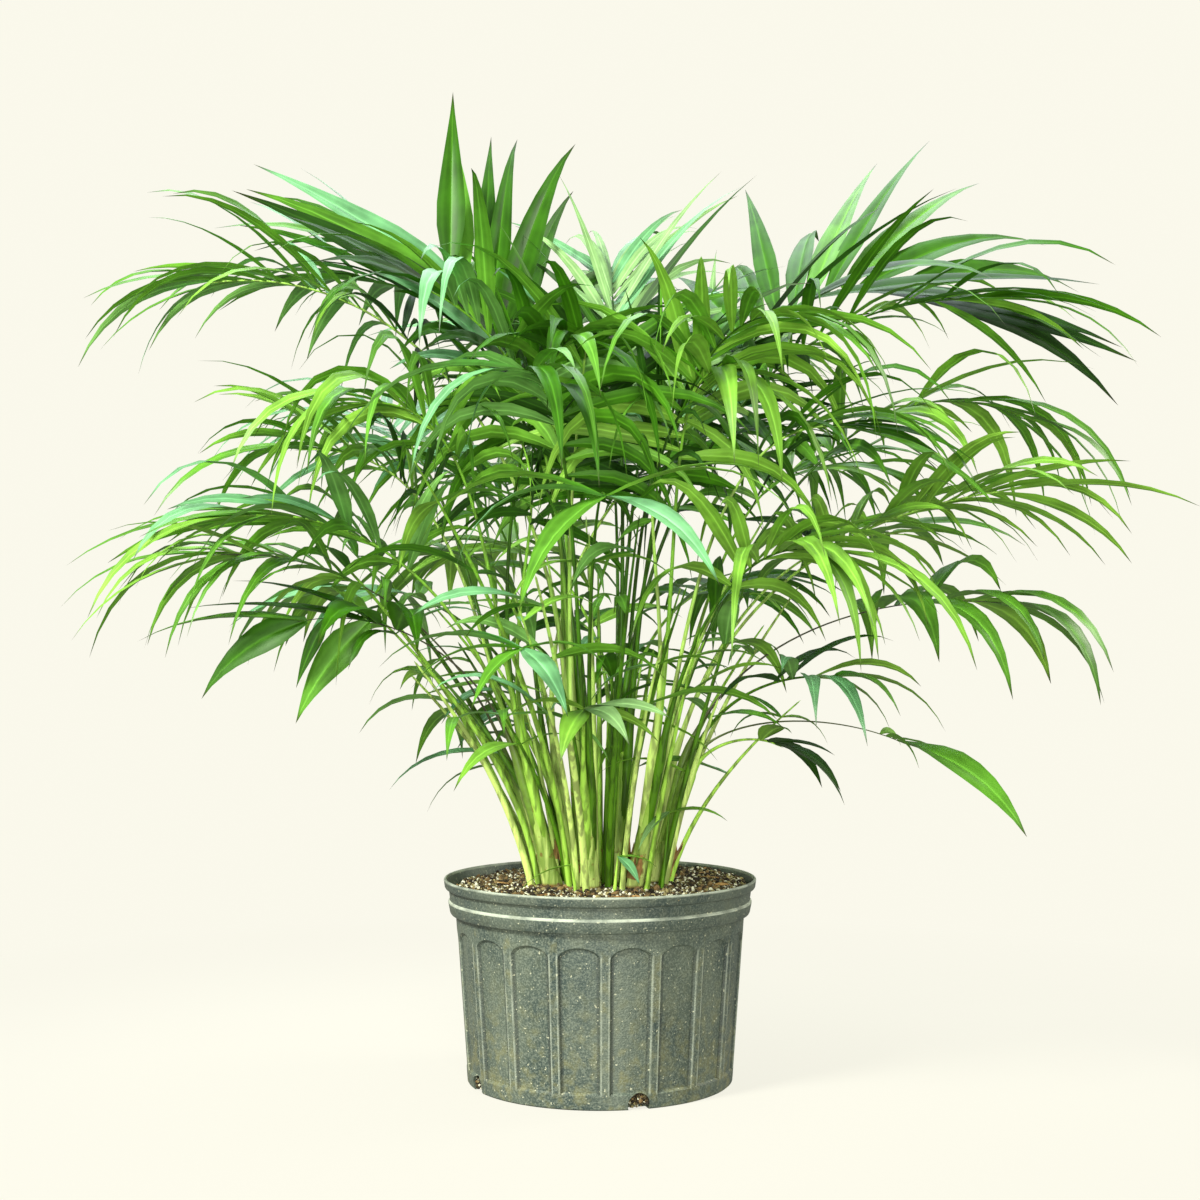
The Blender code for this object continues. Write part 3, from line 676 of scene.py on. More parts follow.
# %% Growth: named sizes
GAP = 0.0004
SOIL_TOP = 0.1700
CANE_RINGS = (
    # count, first bearing, foot radius, lean, shortest, tallest
    (8, 35.0, 0.048, 16.0, 0.070, 0.120),
    (4, 50.0, 0.018, 5.0, 0.110, 0.160),
)
CANE_FOOT = 0.0110
CANE_TOP = 0.0088
BULB_SHARE = 0.25
HEIGHT_STEP = 0.618
FIRST_SHARE = 0.2
RING_WIDTH = 0.16
FRONDS_PER_CANE = 4
INNER_RING_HEIGHT = 0.69
WRONG_RING_COST = 70
FOOT_RING = 0.0052
PETIOLE_HALF = 0.0030
TIP_HALF = 0.0011
PETIOLE_STATIONS = 5
LEAVE = 0.26
ARRIVE = 0.36
BLADE_KINDS = {
    # name: pairs of leaflets, leaflet length, width over length, bare share, sag
    "broad": (8, 0.255, 0.105, 0.58, 0.55),
    "full": (10, 0.200, 0.110, 0.54, 1.00),
    "arched": (9, 0.200, 0.110, 0.55, 1.40),
    "loose": (5, 0.165, 0.150, 0.64, 1.20),
    "small": (4, 0.125, 0.180, 0.64, 1.10),
    "sprig": (2, 0.095, 0.230, 0.78, 0.90),
    "whip": (2, 0.165, 0.190, 0.90, 0.90),
}
NAMED_FRONDS = (
    # name, kind, bearing, reach, height, pitch, roll
    ("crest_left", "broad", 158, 0.150, 0.718, 48, -55),
    ("crown_left", "full", 178, 0.345, 0.696, -8, 0),
    ("crown_left_back", "full", 156, 0.270, 0.720, 4, 10),
    ("middle_left", "arched", 183, 0.260, 0.545, -4, 0),
    ("middle_left_front", "full", 202, 0.310, 0.480, -6, 0),
    ("low_left", "arched", 186, 0.335, 0.452, -6, 0),
    ("lowest_left", "loose", 197, 0.260, 0.395, -12, 0),
    ("front_high_left", "arched", 224, 0.190, 0.660, 14, 0),
    ("crest_right", "broad", 14, 0.300, 0.700, -10, 55),
    ("crown_right", "full", -6, 0.330, 0.672, -4, 0),
    ("shoulder_right", "arched", 6, 0.380, 0.580, -26, 0),
    ("middle_right", "full", -10, 0.345, 0.505, 6, 0),
    ("low_right", "loose", -8, 0.350, 0.410, -8, 0),
    ("small_right", "small", -32, 0.220, 0.360, -6, 0),
    ("whip_right", "whip", -14, 0.260, 0.294, -24, 0),
    ("front_centre", "full", 271, 0.230, 0.485, -22, 0),
    ("front_low_left", "small", 250, 0.180, 0.372, -18, 0),
    ("front_high_right", "arched", 302, 0.200, 0.590, -16, 0),
    ("front_right", "arched", 318, 0.240, 0.448, -16, 0),
    ("front_high", "arched", 262, 0.150, 0.620, -5, 0),
    ("front_low", "sprig", 265, 0.140, 0.322, -20, 0),
    ("sprig_right", "sprig", -12, 0.155, 0.290, -25, 0),
    ("sprig_back", "small", 100, 0.200, 0.400, -10, 0),
    ("crest_back", "full", 86, 0.150, 0.735, 40, 0),
    ("crest_back_right", "full", 55, 0.190, 0.670, 40, 15),
)
FILL_RINGS = (
    # name, kind, count, first bearing, last bearing, reach, height, pitch
    ("back_low", "loose", 5, 34, 146, 0.340, 0.455, -8),
    ("back_middle", "arched", 5, 38, 138, 0.330, 0.575, -6),
    ("back_high", "full", 3, 70, 125, 0.270, 0.670, 2),
    ("front_fill", "arched", 4, 215, 340, 0.250, 0.585, -8),
    ("heart", "full", 3, 330, 200, 0.110, 0.600, 40),
)
RING_TURN = 2.4
REACH_WAVE = 0.08
HEIGHT_WAVE = 0.030
PITCH_WAVE = 5
SPLAY = (82, 22)
LIFT = (18, 16)
TEST_MARGIN = 0.0008
RIB_TRIES = 90
RIB_SWING = 0.5
RIB_RISE = 0.012
RIB_WAVE = 1.7
UP = Vector((0, 0, 1))
print("fronds named:", len(NAMED_FRONDS), "and filled in:", sum(row[2] for row in FILL_RINGS))

# %% [markdown]
# Nothing on a plant grows through anything else. Each rib and leaflet is first tried out as a plain
# closed body. A tree of boxes says whether it cuts what already stands, and if so another place near
# by is tried.

# %% Growth: bodies for testing


class Body:
    """A closed test shape with its bounding box, for finding what touches what."""

    def __init__(self, points, faces):
        self.low = np.min(points, axis=0)
        self.high = np.max(points, axis=0)
        self.tree = BVHTree.FromPolygons(points, faces)

    def touches(self, other):
        if (self.low > other.high).any() or (other.low > self.high).any():
            return False
        return bool(self.tree.overlap(other.tree))


class Crowd:
    """All that stands so far, with the boxes kept together so that most are ruled out at once."""

    def __init__(self, most=4000):
        self.bodies, self.owners = [], []
        self.lows, self.highs = np.zeros((most, 3)), np.zeros((most, 3))

    def add(self, body, owner=None):
        self.lows[len(self.bodies)], self.highs[len(self.bodies)] = body.low, body.high
        self.bodies.append(body)
        self.owners.append(owner)

    def hit(self, body, owner=None, beyond_root=None):
        """Whether the body cuts another. Its own frond is tested with the stretch beyond the root."""
        count = len(self.bodies)
        near = (self.lows[:count] <= body.high).all(1) & (self.highs[:count] >= body.low).all(1)
        for number in np.flatnonzero(near):
            own = beyond_root is not None and self.owners[number] == owner
            if (beyond_root if own else body).touches(self.bodies[number]):
                return True
        return False


def square(side, up, half):
    """The offsets of a test tube's four corners."""
    return side * half, up * half, -side * half, -up * half


def tube_body(centres, corners):
    """A closed test tube: each centre has the four offsets of its corners."""
    points = [centre + offset for centre, four in zip(centres, corners) for offset in four]
    faces = [(3, 2, 1, 0)]
    for ring in range(len(centres) - 1):
        for corner in range(4):
            a, b = 4 * ring + corner, 4 * ring + (corner + 1) % 4
            faces.append((a, b, b + 4, a + 4))
    last = 4 * (len(centres) - 1)
    faces.append((last, last + 1, last + 2, last + 3))
    return Body(points, faces)


def section_frame(tangent, across, roll=0):
    """The two directions across a rib: its left side and its upper side, turned by roll degrees."""
    side = (across - tangent * across.dot(tangent)).normalized()
    side = Matrix.Rotation(radians(roll), 3, tangent) @ side
    return side, tangent.cross(side).normalized()


def heading(bearing, rise=0):
    """The direction at a bearing, rising by an angle, both in degrees."""
    flat, rise = radians(bearing), radians(rise)
    return Vector((cos(flat) * cos(rise), sin(flat) * cos(rise), sin(rise)))


print("test bodies ready")

# %% [markdown]
# A cane is straight and carries up to four petioles on its top. A frond keeps its curve as four
# points, and asks it for places and directions.

# %% Growth: canes and ribs


class Cane:
    """One short upright stem: it leans out from its foot, and its top carries petioles."""

    def __init__(self, number, bearing, foot_radius, lean, height):
        self.name, self.bearing, self.fronds = f"cane_{number:02d}", bearing, []
        out = heading(bearing)
        self.foot = out * foot_radius + Vector((0, 0, SOIL_TOP + GAP))
        self.axis = (out * sin(radians(lean)) + Vector((0, 0, cos(radians(lean))))).normalized()
        self.top = self.foot + self.axis * height

    def radius(self, share):
        """The bulb at the foot narrows quickly, then the cane tapers slowly."""
        bulb = max(0.0, 1 - share / BULB_SHARE) ** 2
        return CANE_TOP + (CANE_FOOT - CANE_TOP) * (0.45 * (1 - share) + 0.55 * bulb)

    def body(self):
        quarter = self.axis.orthogonal().normalized()
        spokes = [Matrix.Rotation(pi / 2 * k, 3, self.axis) @ quarter for k in range(4)]
        corners = [[spoke * radius for spoke in spokes] for radius in (CANE_FOOT, CANE_TOP)]
        return tube_body([self.foot, self.top - self.axis * GAP], corners)


class Frond:
    """One leaf: a petiole that goes on as the rib, and the leaflets along the rib."""

    def __init__(self, name, kind, bearing, reach, height, pitch, roll, seed):
        self.name, self.kind, self.random = f"frond_{name}", kind, random.Random(seed)
        self.bearing, self.reach, self.height, self.pitch, self.roll = bearing, reach, height, pitch, roll
        self.pairs, self.leaflet_length, self.leaflet_ratio, self.bare, self.sag = BLADE_KINDS[kind]

    def stand_on(self, cane, place):
        """The foot, on the cane's flat top, beside the cane's other petioles."""
        spread = heading(cane.bearing + 90 * place)
        self.spread = (spread - cane.axis * spread.dot(cane.axis)).normalized()
        self.cane = cane
        self.foot = cane.top + self.spread * FOOT_RING + cane.axis * GAP

    def bend(self, bearing_shift, height_shift):
        """Works out the curve from the foot to the rib's end."""
        angle, pitch = radians(self.bearing + bearing_shift), radians(self.pitch)
        end = Vector((self.reach * cos(angle), self.reach * sin(angle), self.height + height_shift))
        chord = (end - self.foot).length
        out = Vector((end.x - self.foot.x, end.y - self.foot.y, 0.0)).normalized()
        arrive = out * cos(pitch) + Vector((0, 0, sin(pitch)))
        self.across = Vector((-out.y, out.x, 0.0))
        steep = (end.z - self.foot.z) / chord
        leave = self.foot + self.cane.axis * chord * LEAVE * (1 + steep)
        self.hold = (self.foot, leave, end - arrive * chord * ARRIVE, end)

    def point(self, t):
        a, b, c, d = self.hold
        s = 1 - t
        return a * s**3 + b * (3 * s * s * t) + c * (3 * s * t * t) + d * t**3

    def tangent(self, t):
        a, b, c, d = self.hold
        s = 1 - t
        return ((b - a) * (s * s) + (c - b) * (2 * s * t) + (d - c) * (t * t)).normalized()

    def frame(self, t):
        """The rib's left and upper sides. The roll comes in along the blade."""
        blade = max(0.0, (t - self.bare) / (1 - self.bare))
        return section_frame(self.tangent(t), self.across, self.roll * blade)

    def half_width(self, t):
        return PETIOLE_HALF + (TIP_HALF - PETIOLE_HALF) * t

    def rib_body(self, margin):
        leaflets = 2 * self.pairs
        times = [self.bare * k / PETIOLE_STATIONS for k in range(PETIOLE_STATIONS)]
        times += [self.bare + (1 - self.bare) * k / leaflets for k in range(leaflets + 1)]
        corners = [square(*self.frame(t), self.half_width(t) + margin) for t in times]
        return tube_body([self.point(t) for t in times], corners)


print("cane and frond rules ready")

# %% [markdown]
# The fronds are shared out among the canes: each takes the nearest one with room, and the highest
# fronds take the inner ring. Then every rib bends a little, if it must, until it clears the others.

# %% Growth: share out the fronds and settle the ribs


def grow_canes():
    canes = []
    for count, first, foot_radius, lean, shortest, tallest in CANE_RINGS:
        for k in range(count):
            share = (k * HEIGHT_STEP + FIRST_SHARE) % 1
            height = shortest + (tallest - shortest) * share
            radius = foot_radius * (1 + RING_WIDTH * (share - 0.5))
            canes.append(Cane(len(canes) + 1, first + 360 * k / count, radius, lean, height))
    return canes


def all_fronds():
    fronds = [Frond(*row, seed=100 + k) for k, row in enumerate(NAMED_FRONDS)]
    for name, kind, count, first, last, reach, height, pitch in FILL_RINGS:
        for k in range(count):
            bearing = first + (last - first) * k / max(1, count - 1)
            wave = sin(RING_TURN * k + len(name))
            row = (f"{name}_{k + 1}", kind, bearing, reach * (1 + REACH_WAVE * wave),
                   height + HEIGHT_WAVE * wave, pitch + PITCH_WAVE * wave, 0)
            fronds.append(Frond(*row, seed=300 + len(fronds)))
    return fronds


def share_out(fronds, canes):
    outer = CANE_RINGS[0][0]
    for frond in sorted(fronds, key=lambda f: f.height):
        def cost(item):
            number, cane = item
            wrong_ring = (number < outer) == (frond.height > INNER_RING_HEIGHT)
            apart = abs((frond.bearing - cane.bearing + 180) % 360 - 180)
            return apart + WRONG_RING_COST * wrong_ring
        free = [item for item in enumerate(canes) if len(item[1].fronds) < FRONDS_PER_CANE]
        min(free, key=cost)[1].fronds.append(frond)
    for cane in canes:
        sides = {True: 1, False: 3}
        for rank, frond in enumerate(sorted(cane.fronds, key=lambda f: f.height)):
            left = (frond.bearing - cane.bearing) % 360 < 180
            if rank == 0:
                place = 0
            elif rank == len(cane.fronds) - 1:
                place = 2
            else:
                place = sides.pop(left, 0) or sides.popitem()[1]
            frond.stand_on(cane, place)


canes, fronds, crowd = grow_canes(), all_fronds(), Crowd()
share_out(fronds, canes)
for cane in canes:
    crowd.add(cane.body())
for frond in fronds:
    for attempt in range(RIB_TRIES):
        frond.bend(RIB_SWING * attempt * (-1) ** attempt, RIB_RISE * sin(RIB_WAVE * attempt))
        if not crowd.hit(frond.rib_body(TEST_MARGIN)):
            break
    crowd.add(frond.rib_body(0.0), frond.name)
print("canes:", len(canes), "ribs:", len(fronds))

# %% [markdown]
# Between the old stems stand young shoots, thin and upright. One is tried in the middle of each
# cane's top, and the feet of the others are drawn at random on the mix. Each is kept only where it
# clears what is already there, and the leaflets then have to clear it.

# %% Growth: young shoots
SHOOTS = 46
SHOOT_RINGS = 14
SHOOT_TRIES = 1500
SHOOT_TAPER = 0.72
SHOOT_LEAN = (2.4, 5.0)


class Shoot:
    """A thin stem, upright from its foot, then bowing outwards, with a fine point."""

    def __init__(self, foot, out, lean, bow, height, radius):
        self.centres, self.radii = [], []
        for ring in range(SHOOT_RINGS):
            t = ring / (SHOOT_RINGS - 1)
            reach = (lean * t + bow * t * t) * height
            self.centres.append(foot + Vector((0, 0, height * t)) + out * reach)
            self.radii.append(radius * (1 - SHOOT_TAPER * t**1.6))
        beyond = 2 * self.centres[-1] - self.centres[-2]
        across = Vector((-out.y, out.x, 0))
        self.frames = [section_frame((far - near).normalized(), across)
                       for near, far in zip(self.centres, self.centres[1:] + [beyond])]

    def body(self):
        corners = [square(*frame, radius + TEST_MARGIN) for frame, radius in zip(self.frames, self.radii)]
        return tube_body(self.centres, corners)


draw = random.Random(61)
shoots = []
for cane in canes:
    flat = Vector((cane.axis.x, cane.axis.y, 0))
    lean = flat.length / cane.axis.z
    shoot = Shoot(cane.top - cane.axis * 0.004, flat.normalized(), lean, draw.uniform(0, 0.12),
                  draw.uniform(0.10, 0.26), 0.0024)
    if not any(shoot.body().touches(other) for other in crowd.bodies[len(canes):]):
        crowd.add(shoot.body())
        shoots.append(shoot)
for _ in range(SHOOT_TRIES):
    if len(shoots) >= SHOOTS:
        break
    bearing, reach = draw.uniform(0, 2 * pi), draw.uniform(0.008, 0.066)
    out = Vector((cos(bearing), sin(bearing), 0))
    foot = out * reach
    foot.z = bed_height(foot.x, foot.y) - 0.003
    shoot = Shoot(foot, out, reach * draw.uniform(*SHOOT_LEAN), draw.uniform(0.05, 0.5),
                  draw.uniform(0.14, 0.36), draw.uniform(0.0022, 0.0040))
    if not crowd.hit(shoot.body()):
        crowd.add(shoot.body())
        shoots.append(shoot)
print("young shoots:", len(shoots))

# %% [markdown]
# A leaflet starts on the rib, leans towards the frond's tip, and turns down a little more at each
# step under its own weight. Its outline swells quickly and narrows to a long thin point. Across, it
# is folded along its midrib like a shallow V, each half arched. Six points to a ring and eight rings
# give that shape in forty-nine faces, upper and lower sides apart.

# %% Leaflets: the shape
LEAFLET_STEPS = 8
WIDEST_STEP = 3
BLADE_THICKNESS = 0.0011
WIDEST = 0.33
ROOT_WIDTH = 0.24
FOLD = 0.30
ARCH = 0.13
MIDWAY = 0.52


def swell(share):
    """The half-width of a leaflet along its length, as a share of the widest."""
    if share < WIDEST:
        return ROOT_WIDTH + (1 - ROOT_WIDTH) * sin(pi / 2 * share / WIDEST)
    return (1 - ((share - WIDEST) / (1 - WIDEST)) ** 1.35) ** 1.25


def leaf_form():
    """Faces, map places and slots of one leaflet. Slot 0 is its upper side and slot 1 its underside."""
    across = (0.0, 0.25, 0.5, 0.75, 1.0, 0.5)
    faces, places, slots = [list(range(5, -1, -1))], [], [1]
    for ring in range(LEAFLET_STEPS):
        for j in range(6):
            a, b = 6 * ring + j, 6 * ring + (j + 1) % 6
            faces.append([a, b, b + 6, a + 6] if ring < LEAFLET_STEPS - 1 else [a, b, 6 * LEAFLET_STEPS])
            slots.append(0 if j < 4 else 1)
    for face in faces:
        for corner in face:
            tip = corner == 6 * LEAFLET_STEPS
            places.append((0.5, 1.0) if tip else (across[corner % 6], corner // 6 / LEAFLET_STEPS))
    return faces, np.array(places), np.array(slots)


LEAF_FORM = leaf_form()


class Leaflet:
    """One leaflet: a blade that leaves its root, widens, and bends down to its tip."""

    def __init__(self, root, direction, up, length, width, sag, twist):
        self.width, self.twist = width, twist
        normal = (up - direction * up.dot(direction)).normalized()
        point = root.copy()
        self.points, self.normals, self.directions = [point], [normal], [direction]
        for k in range(LEAFLET_STEPS):
            fall = sag * 2 * (k + 0.5) / LEAFLET_STEPS**2
            direction = (direction + Vector((0, 0, -fall))).normalized()
            normal = (normal - direction * normal.dot(direction)).normalized()
            point = point + direction * (length / LEAFLET_STEPS)
            self.points.append(point)
            self.normals.append(normal)
            self.directions.append(direction)

    def body(self, first=0.0):
        """A test tube through the root, the widest place and the tip. It may start beyond the root."""
        steps = (0, WIDEST_STEP, LEAFLET_STEPS)
        centres = [self.points[k] for k in steps]
        centres[0] = centres[0].lerp(centres[1], first)
        corners = []
        for k, half in zip(steps, (0.35 * self.width / 2, self.width / 2, 0.0006)):
            wide = self.directions[k].cross(self.normals[k]) * half
            thick = self.normals[k] * 0.0009
            corners.append((thick + wide, thick * 2, thick - wide, -thick))
        return tube_body(centres, corners)

    def shape(self):
        """The blade's points: from edge to edge over the fold, and one under the midrib, at each step."""
        rows = []
        for k in range(LEAFLET_STEPS):
            share, centre = k / LEAFLET_STEPS, self.points[k]
            up = Matrix.Rotation(radians(self.twist * share), 3, self.directions[k]) @ self.normals[k]
            side = self.directions[k].cross(up)
            half = self.width / 2 * swell(share)
            fold = half * FOLD * (1 - 0.55 * share)
            edge, edge_up = side * half, up * fold
            middle, middle_up = side * (half * MIDWAY), up * (fold * MIDWAY + ARCH * half)
            thick = up * (BLADE_THICKNESS * (1 - 0.7 * share) / 2)
            rows += [
                centre - edge + edge_up, centre - middle + middle_up, centre + thick,
                centre + middle + middle_up, centre + edge + edge_up, centre - thick,
            ]
        return rows + [self.points[-1]]


print("a leaflet has", len(LEAF_FORM[0]), "faces")

# %% [markdown]
# The rule draws each leaflet's angles, size and sag from its frond's own random numbers, so two are never
# alike. One that cuts another is drawn again, with wider swings, and left out after nine tries. The few broad
# leaves that stand out most are placed one by one: at the top left, on two low fronds in front, and on the
# lowest frond at the left, where they hang and face the viewer.

# %% Leaflets: the rule and the leaves placed one by one
FINER = {
    # kind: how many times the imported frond's leaflets, their width as a share of its own, looseness
    "broad": (1.25, 0.82, 0.35), "full": (1.65, 0.56, 1.0), "arched": (1.65, 0.54, 1.0),
    "loose": (1.2, 0.86, 1.0), "small": (1.25, 0.88, 1.0), "sprig": (1.5, 0.95, 0.8),
    "whip": (1.0, 0.85, 0.3),
}
OWN_LOOKS = {
    # frond: its leaflets' number, width and sag as shares of its kind's
    "crest_left": (1.1, 1.32, 1.0), "crest_right": (1.1, 1.30, 1.0), "lowest_left": (0.8, 1.50, 1.5),
    "crest_back": (1.4, 0.92, 0.8), "crest_back_right": (1.6, 0.80, 0.7), "back_high_1": (1.5, 0.80, 0.9),
    "back_high_3": (1.4, 0.80, 0.9), "front_centre": (0.5, 1.80, 1.3), "crown_left_back": (0.9, 1.50, 0.7),
    "crown_left": (1.1, 0.90, 1.2), "middle_left_front": (0.9, 1.30, 1.0), "shoulder_right": (0.9, 1.35, 1.3),
    "front_high_right": (0.8, 1.40, 1.4), "middle_right": (0.9, 1.20, 1.0), "front_high": (0.8, 1.20, 1.5),
    "front_high_left": (0.8, 1.30, 1.4), "front_right": (0.9, 1.30, 1.3), "low_right": (0.8, 1.55, 1.5),
    "front_fill_1": (0.8, 1.10, 1.6), "front_fill_2": (0.8, 1.20, 1.6), "front_fill_3": (0.8, 1.10, 1.6),
}
BY_HAND = {
    # frond: the ruled leaflets that it keeps, and its leaves, each as share along the rib, bearing,
    # rise, length, width, sag, side of the frond, and how far it faces the viewer
    "crest_left": (20, (
        (0.99, 88, 84, 0.172, 0.027, 0.08, 1, 0), (0.99, 150, 22, 0.240, 0.021, 0.50, 0, 0),
    )),
    "front_centre": (0, (
        (0.99, 232, -22, 0.138, 0.034, 1.2, 0, 0), (0.99, 306, -10, 0.156, 0.028, 0.9, 0, 0),
        (0.99, 186, 22, 0.165, 0.018, 1.9, 1, 0), (0.99, 206, 12, 0.150, 0.018, 2.0, 0, 0),
        (0.99, -14, 24, 0.160, 0.014, 1.5, 1, 0), (0.99, 10, 26, 0.175, 0.011, 1.3, 1, 0),
    )),
    "front_low_left": (2, (
        (0.99, 300, -20, 0.092, 0.023, 0.8, 1, 0), (0.99, 240, -16, 0.086, 0.019, 0.9, 0, 0),
        (0.99, 184, 18, 0.120, 0.019, 1.2, 1, 0), (0.99, 207, 6, 0.104, 0.016, 1.2, 0, 0),
        (0.99, 164, 24, 0.084, 0.014, 1.0, 1, 0), (0.99, 350, 14, 0.078, 0.012, 1.4, 0, 0),
    )),
    "lowest_left": (4, (
        (0.99, 185, 6, 0.140, 0.024, 0.60, 0, 0.3), (0.98, 180, -20, 0.112, 0.028, 0.95, 0, 4.0),
        (0.91, 180, -62, 0.064, 0.014, 0.50, 0, 4.0), (0.76, 180, -44, 0.106, 0.032, 0.80, 0, 4.0),
        (0.74, 184, 12, 0.160, 0.024, 0.35, 0, 0.3), (0.70, 182, 26, 0.135, 0.022, 0.45, 0, 0.3),
    )),
}
HAND_TWIST = 15
SKIPPED = 0.07
SKIP_FROM = 6
WANDER_STEP = 0.5
WANDER_MOST = 2.2
TWIST = 85
EASILY_TWISTED = 0.013
LEAF_TRIES = 9
BEYOND_ROOT = 0.3
WHIP_SHARE = 0.4


def short_name(frond):
    return frond.name.removeprefix("frond_")


def frond_leaflet(frond, number, count, attempt):
    """The leaflet at a place along a rib, with the angles and size that the rule gives it."""
    along = number / (count - 1)
    t = frond.bare + (1 - frond.bare) * (number + 0.5) / count
    side, up = frond.frame(t)
    if number % 2:
        side = -side
    jitter = frond.random.uniform
    _, narrower, looseness = FINER[frond.kind]
    _, own_width, own_sag = OWN_LOOKS.get(short_name(frond), (1.0, 1.0, 1.0))
    wander = min(WANDER_MOST, 1 + WANDER_STEP * attempt) * looseness
    splay = radians(SPLAY[0] + (SPLAY[1] - SPLAY[0]) * along**0.8 + jitter(-14, 14) * wander)
    lift = radians(LIFT[0] + (LIFT[1] - LIFT[0]) * along + jitter(-22, 20) * wander)
    outward = side * cos(lift) + up * sin(lift)
    direction = (frond.tangent(t) * cos(splay) + outward * sin(splay)).normalized()
    swell_along = 0.72 + 0.32 * sin(pi * (0.16 + 0.72 * along))
    shortest = 1 - 0.28 * looseness
    length = frond.leaflet_length * swell_along * jitter(shortest, 1.03) * (1 - 0.02 * attempt)
    width = frond.leaflet_length * frond.leaflet_ratio * (0.86 + 0.2 * along) * jitter(0.8, 1.15)
    width *= narrower * own_width
    whip = frond.kind == "whip"
    if whip and number < count - 1:
        length, width = length * WHIP_SHARE, width * WHIP_SHARE
    sag = frond.sag * own_sag * jitter(0.4, 1.6) + jitter(-0.05, 0.05) * wander
    root = frond.point(t) + side * frond.half_width(t) * 0.7
    twist = jitter(-TWIST, TWIST) * (1.0 if whip else min(1.0, EASILY_TWISTED / width))
    return Leaflet(root, direction, up, length, width, sag, twist)


wanted, kept = 0, 0
for frond in fronds:
    count = 2 * round(frond.pairs * FINER[frond.kind][0] * OWN_LOOKS.get(short_name(frond), (1.0,))[0])
    most, leaves = BY_HAND.get(short_name(frond), (count, ()))
    frond.leaflets = []
    for share, bearing, rise, length, width, sag, side, facing in leaves:
        leaflet = Leaflet(frond.point(share), heading(bearing, rise), Vector((0, -facing, 1)),
                          length, width, sag, HAND_TWIST)
        leaflet.side = side
        crowd.add(leaflet.body(), frond.name)
        frond.leaflets.append(leaflet)
    for number in range(min(count, most)):
        if frond.pairs >= SKIP_FROM and frond.random.random() < SKIPPED:
            continue
        wanted += 1
        for attempt in range(LEAF_TRIES):
            leaflet = frond_leaflet(frond, number, count, attempt)
            if not crowd.hit(leaflet.body(), frond.name, leaflet.body(first=BEYOND_ROOT)):
                crowd.add(leaflet.body(), frond.name)
                leaflet.side = number % 2
                frond.leaflets.append(leaflet)
                kept += 1
                break
print(kept, "of", wanted, "leaflets found a free place")

# %% [markdown]
# The shoots have opened their first small leaves, in three tiers near their tops. Three seedlings
# stand at the front too. They are placed one by one: a foot, a node where the leaves part, and for
# each leaf its bearing, rise, length, width and tone.

# %% Leaflets: shoots and seedlings
SHOOT_TIERS = ((-2, 0), (-2, 120), (-2, 235), (-4, 60), (-4, 245), (-6, 150))
SEEDLINGS = (
    # foot x and y; node x, y and z; leaves as bearing, rise, length, width and tone
    ((0.052, -0.052), (0.058, -0.058, 0.235),
     ((-12, 12, 0.052, 0.012, "fresh"), (214, -30, 0.046, 0.019, "pale"))),
    ((0.012, -0.064), (0.015, -0.067, 0.199),
     ((8, 2, 0.036, 0.008, "lime"), (-38, -30, 0.032, 0.013, "sea"))),
    ((-0.020, -0.060), (-0.024, -0.066, 0.192), ((202, -6, 0.052, 0.005, "lime"),)),
)
SEEDLING_HALF = 0.0016

small_leaves, seedling_stems = [], []
draw = random.Random(77)
for shoot in shoots:
    for ring, turn in SHOOT_TIERS:
        angle = radians(turn + draw.uniform(-50, 50))
        direction = Vector((cos(angle), sin(angle), draw.uniform(-0.1, 0.9))).normalized()
        length = draw.uniform(0.060, 0.125)
        leaflet = Leaflet(shoot.centres[ring], direction, UP, length, length * draw.uniform(0.11, 0.17),
                          draw.uniform(0.7, 1.8), draw.uniform(-60, 60))
        if not crowd.hit(leaflet.body(first=0.12)):
            crowd.add(leaflet.body())
            small_leaves.append((leaflet, draw.choice(("leaf", "fresh", "deep", "sea"))))
for foot, node, leaves in SEEDLINGS:
    bottom = Vector((*foot, bed_height(*foot) - 0.002))
    rise = Vector(node) - bottom
    flat = Vector((rise.x, rise.y, 0))
    seedling_stems.append(
        Shoot(bottom, flat.normalized(), flat.length / rise.z, 0.0, rise.z, SEEDLING_HALF))
    for bearing, climb, length, width, tone in leaves:
        leaflet = Leaflet(Vector(node), heading(bearing, climb), UP, length, width, 0.9, 20)
        small_leaves.append((leaflet, tone))
print("small leaves:", len(small_leaves), "seedlings:", len(seedling_stems))

# %% [markdown]
# Leaves are never one green. Young ones are yellow-green and old ones deep. The bluish tone is a painted
# sheen, standing for the sky mirrored on leaf tops, and the darkest tone is painted shade for leaflets deep
# inside the crown. Each frond is dealt one of a few tones, and the leaflets of a tone are joined into one
# piece. Its two slots hold the tone's upper side and its paler underside, brightened further as painted light
# shining through the leaf. The map along each leaflet places a pale midrib, fine veins and a dark tip.

